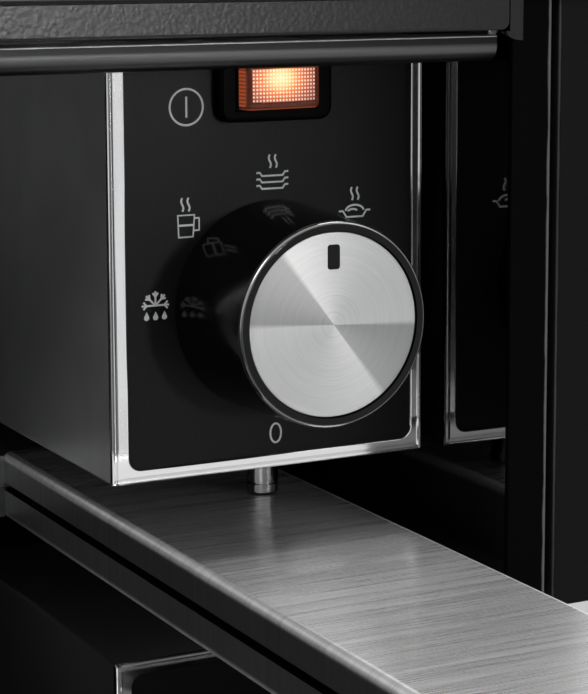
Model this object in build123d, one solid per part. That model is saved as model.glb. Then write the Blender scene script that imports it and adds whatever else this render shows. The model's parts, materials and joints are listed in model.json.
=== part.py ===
"""Countertop warming drawer, drawn open.

A low steel housing stands on four rubber feet. A full-width drawer with a black glass
base runs in it on telescopic rails that lie flat under two brushed side decks. A polished
control box hangs at the right of the cavity, over the right deck, and holds a lit rocker
switch and a rotary selector. Behind the box a duct holds a fan and a tubular heater.

While modelling, X is across with 0 at the middle, Y runs into the housing from 0 at the
plane of its front posts, and Z is up from 0 at the feet. All lengths are in millimetres.
At the end the whole part is moved along Y so that its origin is the middle of its base.
"""
import os
from build123d import *

# ---- housing ----------------------------------------------------------------------
housing_width = 595.0
housing_depth = 576.0
housing_height = 149.0
foot_height = 8.0
foot_radius = 15.0
foot_inset = 30.0
skin = 1.0
side_wall = 24.8
front_return = 11.5
return_depth = 12.0
post_gap = 2.0
post_lap = 0.3
rear_space = 41.0
floor_flange = 20.0
front_lip = 5.0
cover_flange = 10.0
cover_overhang = 1.5

# ---- cavity lining and front members ----------------------------------------------
liner = 1.0
ceiling_gap = 1.8
ceiling_start = 14.5
rail_setback = 2.0
rail_depth = 12.0
rail_height = 6.2
rail_nose = 3.6
rail_top_round = 0.5
rail_end_gap = 2.8
rail_drop = 0.5
lug_width = 3.3
lug_setback = 5.0
fascia_sheet = 1.2
fascia_lift = 0.6
fascia_return = 9.0
fascia_end_gap = 1.1
tab_width = 3.5
tab_sheet = 0.9
tab_drop = 2.4
tab_toe = 1.0

# ---- control box ------------------------------------------------------------------
box_width = 83.9
box_height = 104.0
box_depth = 110.0
box_sheet = 1.0
box_setback = 35.0
box_wall_gap = 3.3
box_over_deck = 12.3
box_bend = 0.9
bead_inset = 1.0
bead_width = 0.7
window_left = 4.4
window_right = 3.4
window_bottom = 3.4
window_top = 2.2
window_corner = 3.0
window_lip = 0.45
panel_thickness = 1.6
notch_radius = 0.8

# ---- rotary selector and knob -----------------------------------------------------
knob_height = 40.0
knob_reach = 31.5
knob_base_radius = 25.6
knob_front_radius = 24.0
knob_rim_round = 1.0
knob_wall = 2.4
knob_front_wall = 8.0
disc_radius = 21.5
disc_thickness = 1.0
disc_recess = 0.5
disc_gap = 0.25
pointer_width = 3.1
pointer_length = 5.7
pointer_radius = 15.7
pointer_thickness = 0.4
shaft_radius = 3.0
shaft_flat = 0.6
bush_radius = 4.5
selector_size = 36.0
selector_depth = 26.0

# ---- rocker switch ----------------------------------------------------------------
bezel_width = 29.8
bezel_height = 16.6
bezel_bottom = 84.6
bezel_rise = 3.6
bezel_border = 3.8
bezel_corner = 3.2
bezel_round = 1.2
rocker_width = 20.6
rocker_height = 10.6
rocker_side_gap = 0.4
rocker_tilt = 5.0
rocker_pivot_depth = 1.5
rocker_front = 8.0
lens_thickness = 4.2
lens_crown = 0.7
lens_wall = 1.2
lens_bevel = 1.1
lens_corner = 1.4
cradle_depth = 5.0
trunnion_radius = 1.2
switch_depth = 22.0
lamp_radius = 1.5
lamp_length = 10.0
blade_width = 6.3
blade_thickness = 0.8
blade_length = 9.0

# ---- stud under the box -----------------------------------------------------------
stud_radius = 4.0
stud_from_left = 50.6
stud_behind_front = 23.5
stud_groove_height = 2.6

# ---- drawer -----------------------------------------------------------------------
drawer_open = 395.0
drawer_depth = 529.2
front_gap = 2.2
front_thickness = 18.8
front_sheet = 1.2
front_foot_gap = 2.0
front_reveal = 1.9
front_round = 2.0
inner_plate = 1.0
pan_clearance = 6.2
pan_sheet = 1.0
glass_thickness = 4.0
deck_rise = 9.5
deck_width = 60.0
deck_sheet = 1.0
deck_round = 2.5
deck_wall_gap = 20.2
deck_shadow = 1.1
deck_overlap = 9.0
gasket_width = 6.0
gasket_thickness = 1.6
gasket_inset = 14.0

# ---- handle -----------------------------------------------------------------------
handle_length = 400.0
handle_radius = 6.0
handle_standoff = 32.0
handle_post_radius = 5.0
handle_post_inset = 40.0
handle_below_top = 34.0

# ---- telescopic rails -------------------------------------------------------------
rail_length = 510.0
rail_start = 12.0
track_width = 45.0
track_height = 11.0
track_sheet = 1.2
track_lip = 3.0
track_gap = 0.3
bracket_width = 24.0
bracket_length = 420.0

# ---- fan, heater and wiring -------------------------------------------------------
fan_size = 80.0
fan_depth = 25.0
fan_bore = 38.0
fan_from_box = 155.0
fan_hub_radius = 15.5
fan_blade_gap = 1.5
fan_blades = 7
fan_shaft_radius = 1.5
heater_tube_radius = 3.25
heater_from_fan = 25.0
heater_length = 150.0
heater_pitch = 21.0
sleeve_radius = 3.5
probe_radius = 2.0
probe_length = 60.0
inlet_width = 27.0
inlet_height = 19.6
inlet_depth = 24.0
inlet_wall = 1.5
inlet_flange = 2.5

# ---- screws and clearances --------------------------------------------------------
screw_head_radius = 3.3
screw_head_height = 1.8
screw_radius = 1.9
screw_length = 6.0
hole_clearance = 0.1
running_clearance = 0.05
seat_gap = 0.1
blanket_gap = 1.5
screw_lift = 0.05

# ---- derived places ---------------------------------------------------------------
half_width = housing_width / 2
cavity_half = half_width - side_wall
post_inner = cavity_half + liner + seat_gap
post_outer = half_width - front_return - post_gap
housing_top = foot_height + housing_height
cover_bottom = housing_top - skin
floor_top = foot_height + skin
cavity_back = housing_depth - rear_space - skin

pan_bottom = floor_top + pan_clearance
glass_bottom = pan_bottom + pan_sheet
glass_top = glass_bottom + glass_thickness
deck_top = glass_top + deck_rise
deck_under = deck_top - deck_sheet
deck_outer = cavity_half - deck_wall_gap
deck_inner = deck_outer - deck_width
pan_half = deck_inner + deck_overlap

box_right = cavity_half - box_wall_gap
box_left = box_right - box_width
box_bottom = deck_top + box_over_deck
box_top = box_bottom + box_height
box_front = box_setback
box_back = box_front + box_depth
box_floor = box_bottom + box_sheet
panel_front = box_front + box_sheet
panel_back = panel_front + panel_thickness
window_x0 = box_left + window_left
window_x1 = box_right - window_right
window_z0 = box_bottom + window_bottom
window_z1 = box_top - window_top
dial_x = (window_x0 + window_x1) / 2
dial_z = box_bottom + knob_height
knob_tip = box_front - knob_reach

ceiling = box_top + ceiling_gap
rail_top = ceiling - rail_drop
rail_bottom = rail_top - rail_height
fascia_bottom = ceiling + fascia_lift

switch_z = box_bottom + bezel_bottom + bezel_height / 2
switch_pivot_y = panel_front + rocker_pivot_depth

front_bottom = foot_height + front_foot_gap
front_top = fascia_bottom - front_reveal
front_back = -front_gap
front_face = front_back - front_thickness

track_x = (pan_half + deck_outer) / 2
track_floor = floor_top
middle_floor = track_floor + track_sheet + track_gap
drawer_track_floor = middle_floor + track_sheet + track_gap
drawer_track_top = pan_bottom + pan_sheet + glass_thickness + track_height / 6

handle_y = front_face - handle_standoff
handle_z = front_top - handle_below_top

duct_x0 = box_left
duct_y0 = box_back + seat_gap
duct_y1 = cavity_back - seat_gap
fan_x = (duct_x0 + cavity_half) / 2
fan_z = (box_bottom + box_top) / 2
fan_y0 = box_front + box_depth + fan_from_box - fan_depth
fan_y1 = fan_y0 + fan_depth
heater_y0 = fan_y1 + heater_from_fan

front_most = handle_y - handle_radius - drawer_open
back_most = housing_depth + inlet_flange - skin
origin_y = (front_most + back_most) / 2


# ---- small helpers ----------------------------------------------------------------
def block(x, y, z):
    """A box between two X, two Y and two Z values."""
    size = (x[1] - x[0], y[1] - y[0], z[1] - z[0])
    return Pos((x[0] + x[1]) / 2, (y[0] + y[1]) / 2, (z[0] + z[1]) / 2) * Box(*size)


def rod_x(radius, x, y, z):
    return Pos((x[0] + x[1]) / 2, y, z) * Rot(0, 90, 0) * Cylinder(radius, x[1] - x[0])


def rod_y(radius, x, y, z):
    return Pos(x, (y[0] + y[1]) / 2, z) * Rot(90, 0, 0) * Cylinder(radius, y[1] - y[0])


def rod_z(radius, x, y, z):
    return Pos(x, y, (z[0] + z[1]) / 2) * Cylinder(radius, z[1] - z[0])


def along_x(sketch, x):
    """A YZ outline drawn out from one X value to another."""
    return extrude(Plane.YZ.offset(x[0]) * sketch, x[1] - x[0])


def along_y(sketch, y):
    """An XZ outline drawn out from one Y value to another."""
    return extrude(Plane.XZ.offset(-y[1]) * sketch, y[1] - y[0])


def along_z(sketch, z):
    """An XY outline drawn out from one Z value to another."""
    return extrude(Plane.XY.offset(z[0]) * sketch, z[1] - z[0])


def area(a, b):
    """A rectangle between two values of each of an outline's own axes."""
    return Pos((a[0] + a[1]) / 2, (b[0] + b[1]) / 2) * Rectangle(a[1] - a[0], b[1] - b[0])


def other_side(shape):
    return mirror(shape, Plane.YZ)


def group(*solids):
    """Separate solids that share one node."""
    return Compound(children=[one for shape in solids for one in shape.solids()])


def screw(x, y, z, toward, length=screw_length):
    """A pan-head screw whose head sits on (x, y, z), its shank running toward a direction."""
    head = Pos(0, 0, -screw_head_height / 2) * Cylinder(screw_head_radius, screw_head_height)
    head = fillet(head.edges().group_by(Axis.Z)[0], screw_head_height / 3)
    shank = Pos(0, 0, length / 2) * Cylinder(screw_radius, length)
    slot = Pos(0, 0, -screw_head_height) * Box(screw_head_radius * 1.2, 0.9, 1.2)
    cross = Pos(0, 0, -screw_head_height) * Box(0.9, screw_head_radius * 1.2, 1.2)
    one = head + shank - slot - cross
    return Plane(origin=(x, y, z), z_dir=toward) * Pos(0, 0, -screw_lift) * one


def screw_hole(x, y, z, toward, depth=skin * 3):
    """The clearance hole that such a screw passes through."""
    hole = Cylinder(screw_radius + hole_clearance, depth * 2)
    return Plane(origin=(x, y, z), z_dir=toward) * hole


# ---- screw places -----------------------------------------------------------------
side_screw_z = cover_bottom - cover_flange / 2
side_screw_ys = [housing_depth * share for share in (0.15, 0.5, 0.85)]
back_screw_xs = [half_width * share for share in (-0.92, -0.4, 0.4, 0.92)]
back_screw_zs = [floor_top + floor_flange / 2, cover_bottom - cover_flange / 2]
foot_places = [(sx * (half_width - foot_inset), y)
               for sx in (-1, 1) for y in (foot_inset, housing_depth - foot_inset)]
pan_screw_xs = [pan_half * share for share in (-0.8, -0.3, 0.3, 0.8)]
pan_screw_z = (glass_top + deck_under) / 2
selector_screw_spread = 12.0


# ---- housing shells ---------------------------------------------------------------
def base_pan():
    """Folded floor tray; its front lip is open where the rails pass."""
    inner = half_width - skin - seat_gap
    y = (return_depth + seat_gap, housing_depth - 2 * skin - seat_gap)
    tray = block((-inner, inner), y, (foot_height, floor_top + floor_flange))
    tray -= block((-inner + skin, inner - skin), (y[0] - 1, y[1] - skin), (floor_top, housing_top))
    nose_half = post_inner - seat_gap
    nose = block((-nose_half, nose_half), (0, y[0] + skin), (foot_height, floor_top))
    lip = block((-pan_half, pan_half), (0, skin), (foot_height, floor_top + front_lip))
    tray = tray + nose + lip
    for x, foot_y in foot_places:
        tray -= screw_hole(x, foot_y, floor_top, (0, 0, 1))
    for x in back_screw_xs:
        tray -= screw_hole(x, y[1], back_screw_zs[0], (0, 1, 0))
    return tray


def side_panel():
    """Right outer skin: side sheet, front return and a turned-in flange."""
    outline = area((half_width - skin, half_width), (0, housing_depth - skin))
    outline += area((half_width - front_return, half_width), (0, skin))
    outline += area((half_width - front_return, half_width - front_return + skin), (0, return_depth))
    panel = along_z(outline, (foot_height, cover_bottom))
    front_edges = panel.edges().filter_by(Axis.Z).group_by(Axis.Y)[0]
    panel = fillet(front_edges, skin * 0.8)
    for y in side_screw_ys:
        panel -= screw_hole(half_width, y, side_screw_z, (1, 0, 0))
    return panel


def top_cover():
    """Top sheet with turned-down flanges inside the side skins and a rounded front edge."""
    y = (-cover_overhang, housing_depth)
    cover = block((-half_width, half_width), y, (cover_bottom, housing_top))
    cover = fillet(cover.edges().filter_by(Axis.Z).group_by(Axis.Y)[0], 3.0)
    cover = fillet(cover.edges().group_by(Axis.Z)[-1], skin * 0.6)
    flange_x = half_width - skin - seat_gap
    flange_y = (return_depth + skin, housing_depth - 3 * skin)
    for sx in (-1, 1):
        x = sorted((sx * flange_x, sx * (flange_x - skin)))
        flange = block(x, flange_y, (cover_bottom - cover_flange, cover_bottom))
        for screw_y in side_screw_ys:
            flange -= screw_hole(sx * flange_x, screw_y, side_screw_z, (1, 0, 0))
        cover += flange
    back_y = (housing_depth - 3 * skin, housing_depth - 2 * skin - seat_gap)
    back = block((-flange_x + 2, flange_x - 2), back_y, (cover_bottom - cover_flange, cover_bottom))
    for x in back_screw_xs:
        back -= screw_hole(x, housing_depth, back_screw_zs[1], (0, 1, 0))
    return cover + back


def back_panel():
    """Rear sheet with two rows of vent slots and the opening for the mains inlet."""
    half = half_width - skin - seat_gap
    y = (housing_depth - 2 * skin, housing_depth - skin)
    panel = block((-half, half), y, (foot_height + seat_gap, cover_bottom - seat_gap))
    slot_pitch = 12.0
    slot_count = 16
    for row_z in (foot_height + housing_height * 0.36, foot_height + housing_height * 0.66):
        for index in range(slot_count):
            x = -half_width * 0.35 + index * slot_pitch
            slot = along_y(Pos(x, row_z) * SlotOverall(26.0, 3.2, rotation=90), (y[0] - 1, y[1] + 1))
            panel -= slot
    panel -= along_y(Pos(*inlet_place()) * Rectangle(inlet_width + 2 * hole_clearance,
                                                     inlet_height + 2 * hole_clearance),
                     (y[0] - 1, y[1] + 1))
    for x in back_screw_xs:
        for z in back_screw_zs:
            panel -= screw_hole(x, y[1], z, (0, 1, 0))
    return panel


def inlet_place():
    return fan_x, box_bottom + box_height * 0.3


def feet():
    """Four rubber feet, each screwed up into the floor tray."""
    feet_list = []
    for x, y in foot_places:
        foot = rod_z(foot_radius, x, y, (0, foot_height))
        foot = fillet(foot.edges().group_by(Axis.Z)[0], 1.5)
        foot -= rod_z(screw_radius + hole_clearance, x, y, (foot_height - screw_length, foot_height))
        feet_list.append(foot)
    return group(*feet_list)


def front_post():
    """Right front trim: a folded channel that laps over the front edge of the lining."""
    outline = area((cavity_half + post_lap, post_outer), (0, skin))
    outline += area((post_inner, post_inner + skin), (0, return_depth))
    outline += area((post_outer - skin, post_outer), (0, return_depth))
    post = along_z(outline, (floor_top + seat_gap, cover_bottom - seat_gap))
    outer_edge = post.edges().filter_by(Axis.Z).group_by(Axis.Y)[0].sort_by(Axis.X)[-1]
    return fillet(outer_edge, skin * 0.8)


# ---- lining -----------------------------------------------------------------------
def side_liner():
    """Right cavity wall, one polished sheet from the front plane to the back."""
    return block((cavity_half, cavity_half + liner), (skin + seat_gap, cavity_back),
                 (floor_top + seat_gap, ceiling))


def ceiling_liner():
    half = cavity_half + liner
    sheet = block((-half, half), (ceiling_start, cavity_back + liner), (ceiling, ceiling + liner))
    return sheet


def rear_liner():
    """Back wall of the cavity, slotted above the drawer, with a hole for the wiring sleeve."""
    half = cavity_half + liner
    wall = block((-half, half), (cavity_back, cavity_back + liner), (floor_top + seat_gap, ceiling))
    sleeve_x, sleeve_z = sleeve_place()
    wall -= rod_y(sleeve_radius + hole_clearance, sleeve_x,
                  (cavity_back - 1, cavity_back + liner + 1), sleeve_z)
    for index in range(14):
        x = -cavity_half * 0.6 + index * 16.0
        slot = Pos(x, (deck_top + ceiling) / 2) * SlotOverall(50.0, 3.0, rotation=90)
        wall -= along_y(slot, (cavity_back - 1, cavity_back + liner + 1))
    return wall


def insulation_blankets():
    """Mineral wool over the ceiling and outside both side walls."""
    y0 = rail_setback + rail_depth + blanket_gap
    top_half = half_width - screw_length - blanket_gap
    top = block((-top_half, top_half), (y0, housing_depth - screw_length - blanket_gap),
                (ceiling + liner, cover_bottom - blanket_gap))
    side = block((post_inner, half_width - skin - blanket_gap), (y0, cavity_back - blanket_gap),
                 (floor_top + floor_flange + blanket_gap, ceiling - blanket_gap))
    return group(top, side, other_side(side))


# ---- front members ----------------------------------------------------------------
def front_cross_rail():
    """Rail across the top of the opening, rounded below and crisp above, with a lug at each end."""
    half = cavity_half - rail_end_gap
    y = (rail_setback, rail_setback + rail_depth)
    rail = block((-half, half), y, (rail_bottom, rail_top))
    rail = fillet(rail.edges().filter_by(Axis.X).group_by(Axis.Y)[0].sort_by(Axis.Z)[0], rail_nose)
    rail = fillet(rail.edges().filter_by(Axis.X).group_by(Axis.Z)[-1].sort_by(Axis.Y)[0], rail_top_round)
    for sx in (-1, 1):
        x0 = cavity_half - lug_width
        x1 = cavity_half - seat_gap
        lug = block((x0, x1), (lug_setback, y[1]), (rail_top - 1, fascia_bottom + 3))
        bite = Plane.XZ.offset(-y[1] - 1) * (Pos(x1 + 0.6, rail_top - 0.8) * Circle(2.0))
        lug -= extrude(bite, rail_depth + 2)
        rail += lug if sx > 0 else other_side(lug)
    return rail


def top_fascia():
    """Textured front strip over the rail, folded back along its lower edge."""
    half = cavity_half - fascia_end_gap
    y0 = -fascia_sheet
    face = block((-half, half), (y0, 0), (fascia_bottom, cover_bottom - seat_gap))
    corner = face.edges().filter_by(Axis.Y).group_by(Axis.Z)[0]
    face = fillet(corner, 2.2)
    fold_half = cavity_half - lug_width - 2
    fold = block((-fold_half, fold_half), (y0, fascia_return),
                 (fascia_bottom, fascia_bottom + fascia_sheet))
    strip = face + fold
    lower = strip.edges().filter_by(Axis.X).group_by(Axis.Y)[0].sort_by(Axis.Z)[0]
    return fillet(lower, fascia_sheet * 0.7)


def fascia_end_tabs():
    """Two flat tabs on the posts beside the fascia, each with a toe rounded under its end."""
    x0 = cavity_half - fascia_end_gap + seat_gap
    x1 = x0 + tab_width
    toe_x = x0 - tab_toe
    shoulder = fascia_bottom - 2 * seat_gap
    foot_z = fascia_bottom - tab_drop
    top_z = cover_bottom - seat_gap
    curve = EllipticalCenterArc((x1, shoulder), x1 - toe_x, shoulder - foot_z, 180, arc_size=90)
    edge = Polyline((x1, foot_z), (x1, top_z), (x0, top_z), (x0, shoulder), (toe_x, shoulder))
    tab = along_y(make_face(curve + edge), (-tab_sheet, 0))
    return group(tab, other_side(tab))


# ---- control box ------------------------------------------------------------------
def control_box():
    """Polished folded box, open at the back, with the window for the control panel."""
    box = block((box_left, box_right), (box_front, box_back), (box_bottom, box_top))
    front = box.edges().group_by(Axis.Y)[0]
    box = fillet(front.filter_by(Axis.Z), box_bend)
    box = fillet(box.edges().group_by(Axis.Y)[0].filter_by(Axis.X), box_sheet * 0.7)
    inside_x = (box_left + box_sheet, box_right - box_sheet)
    box -= block(inside_x, (panel_front, box_back + 1), (box_floor, box_top - box_sheet))
    opening = area((window_x0, window_x1), (window_z0, window_z1))
    opening = fillet(opening.vertices(), window_corner)
    box -= along_y(opening, (box_front - 1, panel_front + 0.5))
    rim = box.edges().group_by(Axis.Y)[0]
    rim = [edge for edge in rim if edge.bounding_box().min.X > window_x0 - 0.5
           and edge.bounding_box().max.X < window_x1 + 0.5
           and edge.bounding_box().min.Z > window_z0 - 0.5
           and edge.bounding_box().max.Z < window_z1 + 0.5]
    box = fillet(rim, window_lip)
    box -= bead_groove()
    for x in (box_left + box_bend, box_right - box_bend):
        box -= rod_y(notch_radius, x, (box_front - 1, panel_front), box_bottom)
    box -= rod_z(stud_neck_radius() + hole_clearance / 2, box_left + stud_from_left,
                 box_front + stud_behind_front, (box_bottom - 1, box_floor + 1))
    return box


def bead_groove():
    """The shallow V that runs round the box's front, just inside its folded edge."""
    def level(inset, y):
        outline = area((box_left + inset, box_right - inset), (box_bottom + inset, box_top - inset))
        return Plane.XZ.offset(-y) * outline

    bottom = box_front + bead_width / 2
    middle = bead_inset + bead_width / 2
    outer = loft([level(bead_inset - 0.1, box_front - 0.1), level(middle, bottom)])
    inner = loft([level(bead_inset + bead_width + 0.1, box_front - 0.1), level(middle, bottom)])
    return outer - inner


def stud_neck_radius():
    return stud_radius * 0.6


def control_box_cover():
    """Plate that closes the back of the box, with a hole for the wiring sleeve."""
    x = (box_left + box_sheet + seat_gap, box_right - box_sheet - seat_gap)
    z = (box_floor + seat_gap, box_top - box_sheet - seat_gap)
    cover = block(x, (box_back - box_sheet, box_back), z)
    sleeve_x, sleeve_z = sleeve_place()
    return cover - rod_y(sleeve_radius + hole_clearance, sleeve_x,
                         (box_back - 3, box_back + 1), sleeve_z)


def control_box_spacer():
    """Packer between the box and the cavity wall that the box is hung from."""
    y = (box_front + box_depth * 0.35, box_back - box_depth * 0.15)
    z = (box_bottom + box_height * 0.4, box_bottom + box_height * 0.75)
    return block((box_right, cavity_half), y, z)


def control_panel():
    """Charcoal panel behind the window, with the rocker cut-out and the bush hole."""
    x = (box_left + box_sheet + seat_gap, box_right - box_sheet - seat_gap)
    z = (box_floor + seat_gap, box_top - box_sheet - seat_gap)
    panel = block(x, (panel_front, panel_back), z)
    cut = Pos(dial_x, switch_z) * Rectangle(switch_body_width() + 2 * hole_clearance,
                                            switch_body_height() + 2 * hole_clearance)
    panel -= along_y(cut, (panel_front - 1, panel_back + 1))
    panel -= rod_y(bush_radius + hole_clearance, dial_x, (panel_front - 1, panel_back + 1), dial_z)
    for sx in (-1, 1):
        panel -= screw_hole(dial_x + sx * selector_screw_spread, panel_front, dial_z, (0, 1, 0))
    return panel


def glide_stud():
    """Bright stud under the box; its foot rides just clear of the deck."""
    x = box_left + stud_from_left
    y = box_front + stud_behind_front
    foot = deck_top + 3 * seat_gap
    stud = rod_z(stud_radius, x, y, (foot, box_bottom))
    stud = fillet(stud.edges().group_by(Axis.Z)[0], 0.5)
    groove_z = foot + stud_groove_height
    ring = rod_z(stud_radius + 1, x, y, (groove_z - 0.3, groove_z + 0.3))
    ring -= rod_z(stud_radius - 0.6, x, y, (groove_z - 1, groove_z + 1))
    stud -= ring
    neck = rod_z(stud_neck_radius(), x, y, (box_bottom, box_floor))
    head = rod_z(stud_radius, x, y, (box_floor, box_floor + 1.5))
    return stud + neck + head


# ---- rotary selector --------------------------------------------------------------
def selector_body():
    """Rotary selector behind the panel, with the bush that carries its shaft."""
    half = selector_size / 2
    y0 = panel_back
    body = block((dial_x - half, dial_x + half), (y0, y0 + selector_depth),
                 (dial_z - half, dial_z + half))
    body = fillet(body.edges().filter_by(Axis.Y), 5.0)
    body += rod_y(bush_radius, dial_x, (panel_front - 2.5, y0 + 1), dial_z)
    body -= rod_y(shaft_radius + running_clearance, dial_x, (panel_front - 4, y0 + 16), dial_z)
    for sx in (-1, 1):
        body -= rod_y(screw_radius + hole_clearance, dial_x + sx * selector_screw_spread,
                      (y0 - 1, y0 + 7), dial_z)
    return body


def selector_shaft():
    """D-shaped shaft from the selector into the knob."""
    y = (knob_tip + knob_front_wall / 2, panel_back + 15)
    shaft = rod_y(shaft_radius, dial_x, y, dial_z)
    flat = block((dial_x - 5, dial_x + 5), (y[0] - 1, panel_front - 6),
                 (dial_z + shaft_radius - shaft_flat, dial_z + 5))
    return shaft - flat


def knob_body():
    """Black knob, slightly wider at the panel, hollow behind, with a rounded front rim."""
    y_base = panel_front - 3 * seat_gap
    length = y_base - knob_tip
    depth = disc_recess + disc_thickness
    well = disc_radius + disc_gap
    outline = Polyline((0, 0), (knob_base_radius, 0), (knob_front_radius, length),
                       (well, length), (well, length - depth), (0, length - depth), close=True)
    knob = revolve(Plane.XZ * make_face(outline), Axis.Z)
    rim = [edge for edge in knob.edges().filter_by(GeomType.CIRCLE)
           if abs(edge.center().Z - length) < 0.01 and edge.radius > well + 0.1]
    knob = fillet(rim, knob_rim_round)
    inner_radius = knob_base_radius - knob_wall
    inner_top = length - knob_front_wall
    hollow = Pos(0, 0, inner_top / 2) * Cone(inner_radius, inner_radius - 1.4, inner_top)
    hub = Pos(0, 0, inner_top / 2 + 2) * Cylinder(shaft_radius + 3.0, inner_top - 4)
    shaft_depth = panel_front - 3 * seat_gap - (knob_tip + knob_front_wall / 2)
    hollow -= hub
    bore = Pos(0, 0, shaft_depth / 2) * Cylinder(shaft_radius + running_clearance, shaft_depth)
    knob = knob - hollow - bore
    return Pos(dial_x, y_base, dial_z) * Rot(90, 0, 0) * knob


def knob_disc():
    """Brushed aluminium disc let into the knob, with a pocket for the pointer."""
    y = (knob_tip + disc_recess, knob_tip + disc_recess + disc_thickness)
    disc = rod_y(disc_radius, dial_x, y, dial_z)
    disc = fillet(disc.edges().group_by(Axis.Y)[0], 0.2)
    return disc - pointer_shape(0.05, (y[0] - 1, y[0] + pointer_thickness + 0.1))


def pointer_shape(extra, y):
    """Rounded bar near the disc's upper edge, widened all round by a small extra."""
    width = pointer_width + 2 * extra
    height = pointer_length + 2 * extra
    outline = Pos(dial_x, dial_z + pointer_radius) * RectangleRounded(width, height, 0.7)
    return along_y(outline, y)


def knob_pointer():
    y0 = knob_tip + disc_recess
    return pointer_shape(0.0, (y0, y0 + pointer_thickness + 0.1))


# ---- rocker switch ----------------------------------------------------------------
def switch_body_width():
    return bezel_width - 3.4


def switch_body_height():
    return bezel_height - 3.4


def rocker_housing():
    """Bezel and body of the switch; the rocker's trunnions sit in its side walls."""
    face = Pos(dial_x, switch_z) * RectangleRounded(bezel_width, bezel_height, bezel_corner)
    bezel = along_y(face, (panel_front - bezel_rise, panel_front))
    bezel = fillet(bezel.edges().group_by(Axis.Y)[0], bezel_round)
    body_face = Pos(dial_x, switch_z) * Rectangle(switch_body_width(), switch_body_height())
    housing = bezel + along_y(body_face, (panel_front, panel_front + switch_depth))
    half_x = bezel_width / 2 - bezel_border
    half_z = rocker_height / 2 + rocker_side_gap
    hollow = block((dial_x - half_x, dial_x + half_x),
                   (panel_front - bezel_rise - 1, panel_front + switch_depth - 5),
                   (switch_z - half_z, switch_z + half_z))
    housing -= hollow
    housing -= rod_z(trunnion_radius + running_clearance, dial_x, switch_pivot_y,
                     (switch_z - bezel_height, switch_z + bezel_height))
    return housing


def tilted(shape):
    """Place a rocker piece, drawn upright about its pivot, at its switched-on tilt."""
    return Pos(dial_x, switch_pivot_y, switch_z) * Rot(0, 0, rocker_tilt) * shape


def rocker_lens():
    """Clear amber cap, crowned in front, bevelled on its front edges and hollow behind."""
    half_x = rocker_width / 2
    half_z = rocker_height / 2
    back = lens_thickness - rocker_front
    crown = ThreePointArc((-half_x, lens_crown - rocker_front), (0, -rocker_front),
                          (half_x, lens_crown - rocker_front))
    sides = Polyline(crown @ 1, (half_x, back), (-half_x, back), crown @ 0)
    lens = along_z(make_face(crown + sides), (-half_z, half_z))
    lens = fillet(lens.edges().filter_by(Axis.Y), lens_corner)
    front = lens.faces().sort_by(Axis.Y)[0]
    lens = chamfer(front.edges(), lens_bevel)
    lens -= block((-half_x + lens_wall, half_x - lens_wall),
                  (-rocker_front + lens_crown + lens_wall, back + 1),
                  (-half_z + lens_wall, half_z - lens_wall))
    return tilted(lens)


def rocker_cradle():
    """Black carrier under the lens, with its two trunnions and a pocket for the lamp."""
    half_x = rocker_width / 2
    half_z = rocker_height / 2
    front = lens_thickness - rocker_front
    cradle = block((-half_x, half_x), (front, cradle_depth), (-half_z, half_z))
    cradle = chamfer(cradle.edges().group_by(Axis.Y)[-1].filter_by(Axis.Z), cradle_depth * 0.6)
    reach = switch_body_height() / 2 - 0.1
    cradle += rod_z(trunnion_radius, 0, 0, (-reach, reach))
    pocket = lamp_radius + 0.4
    cradle -= block((-lamp_length / 2 - 0.5, lamp_length / 2 + 0.5), (front - 1, front + 2 * lamp_radius),
                    (-pocket, pocket))
    return tilted(cradle)


def rocker_lamp():
    """Small neon lamp that lies in the cradle's pocket, under the lens."""
    y = lens_thickness - rocker_front + lamp_radius - 0.1
    lamp = rod_x(lamp_radius, (-lamp_length / 2, lamp_length / 2), y, 0)
    lamp = fillet(lamp.edges(), lamp_radius * 0.6)
    seat = block((-1.0, 1.0), (y + lamp_radius - 0.6, y + lamp_radius + 0.1), (-1.0, 1.0))
    return tilted(lamp + seat)


def brass_contacts():
    """Brass blades behind the two switches, and the mains inlet's three flat pins."""
    blades = [block((px - 2.0, px + 2.0), inlet_pin_y(), (pz - 1.0, pz + 1.0))
              for px, pz in inlet_pin_places()]
    rocker_back = panel_front + switch_depth
    for step in (-1, 0, 1):
        x = dial_x + step * blade_width * 1.35
        blades.append(block((x - blade_thickness / 2, x + blade_thickness / 2),
                            (rocker_back, rocker_back + blade_length),
                            (switch_z - blade_width / 2, switch_z + blade_width / 2)))
    selector_back = panel_back + selector_depth
    for step in (-1, 1):
        for rise in (-1, 1):
            x = dial_x + step * selector_size * 0.27
            z = dial_z + rise * selector_size * 0.27
            blades.append(block((x - blade_width / 2, x + blade_width / 2),
                                (selector_back, selector_back + blade_length),
                                (z - blade_thickness / 2, z + blade_thickness / 2)))
    return group(*blades)


# ---- air duct, fan and heater -----------------------------------------------------
def duct_side_panel():
    """Polished wall behind the box, with slots where air enters and leaves the duct."""
    wall = block((duct_x0, duct_x0 + liner), (duct_y0, duct_y1), (box_bottom, box_top))
    slot_length = box_height * 0.6
    for start in (duct_y0 + 25, duct_y1 - 110):
        for index in range(12):
            y = start + index * 7.0
            outline = Pos(y, fan_z) * SlotOverall(slot_length, 3.0, rotation=90)
            wall -= along_x(outline, (duct_x0 - 1, duct_x0 + liner + 1))
    top = block((duct_x0, duct_x0 + 8), (duct_y0, duct_y1), (box_top, box_top + liner))
    return wall + top + block((duct_x0, duct_x0 + liner), (duct_y0, duct_y1), (box_top, ceiling))


def duct_floor():
    return block((duct_x0 + liner, cavity_half), (duct_y0, duct_y1), (box_bottom, box_floor))


def sleeve_place():
    return box_right - 7.0, box_top - 7.0


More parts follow.
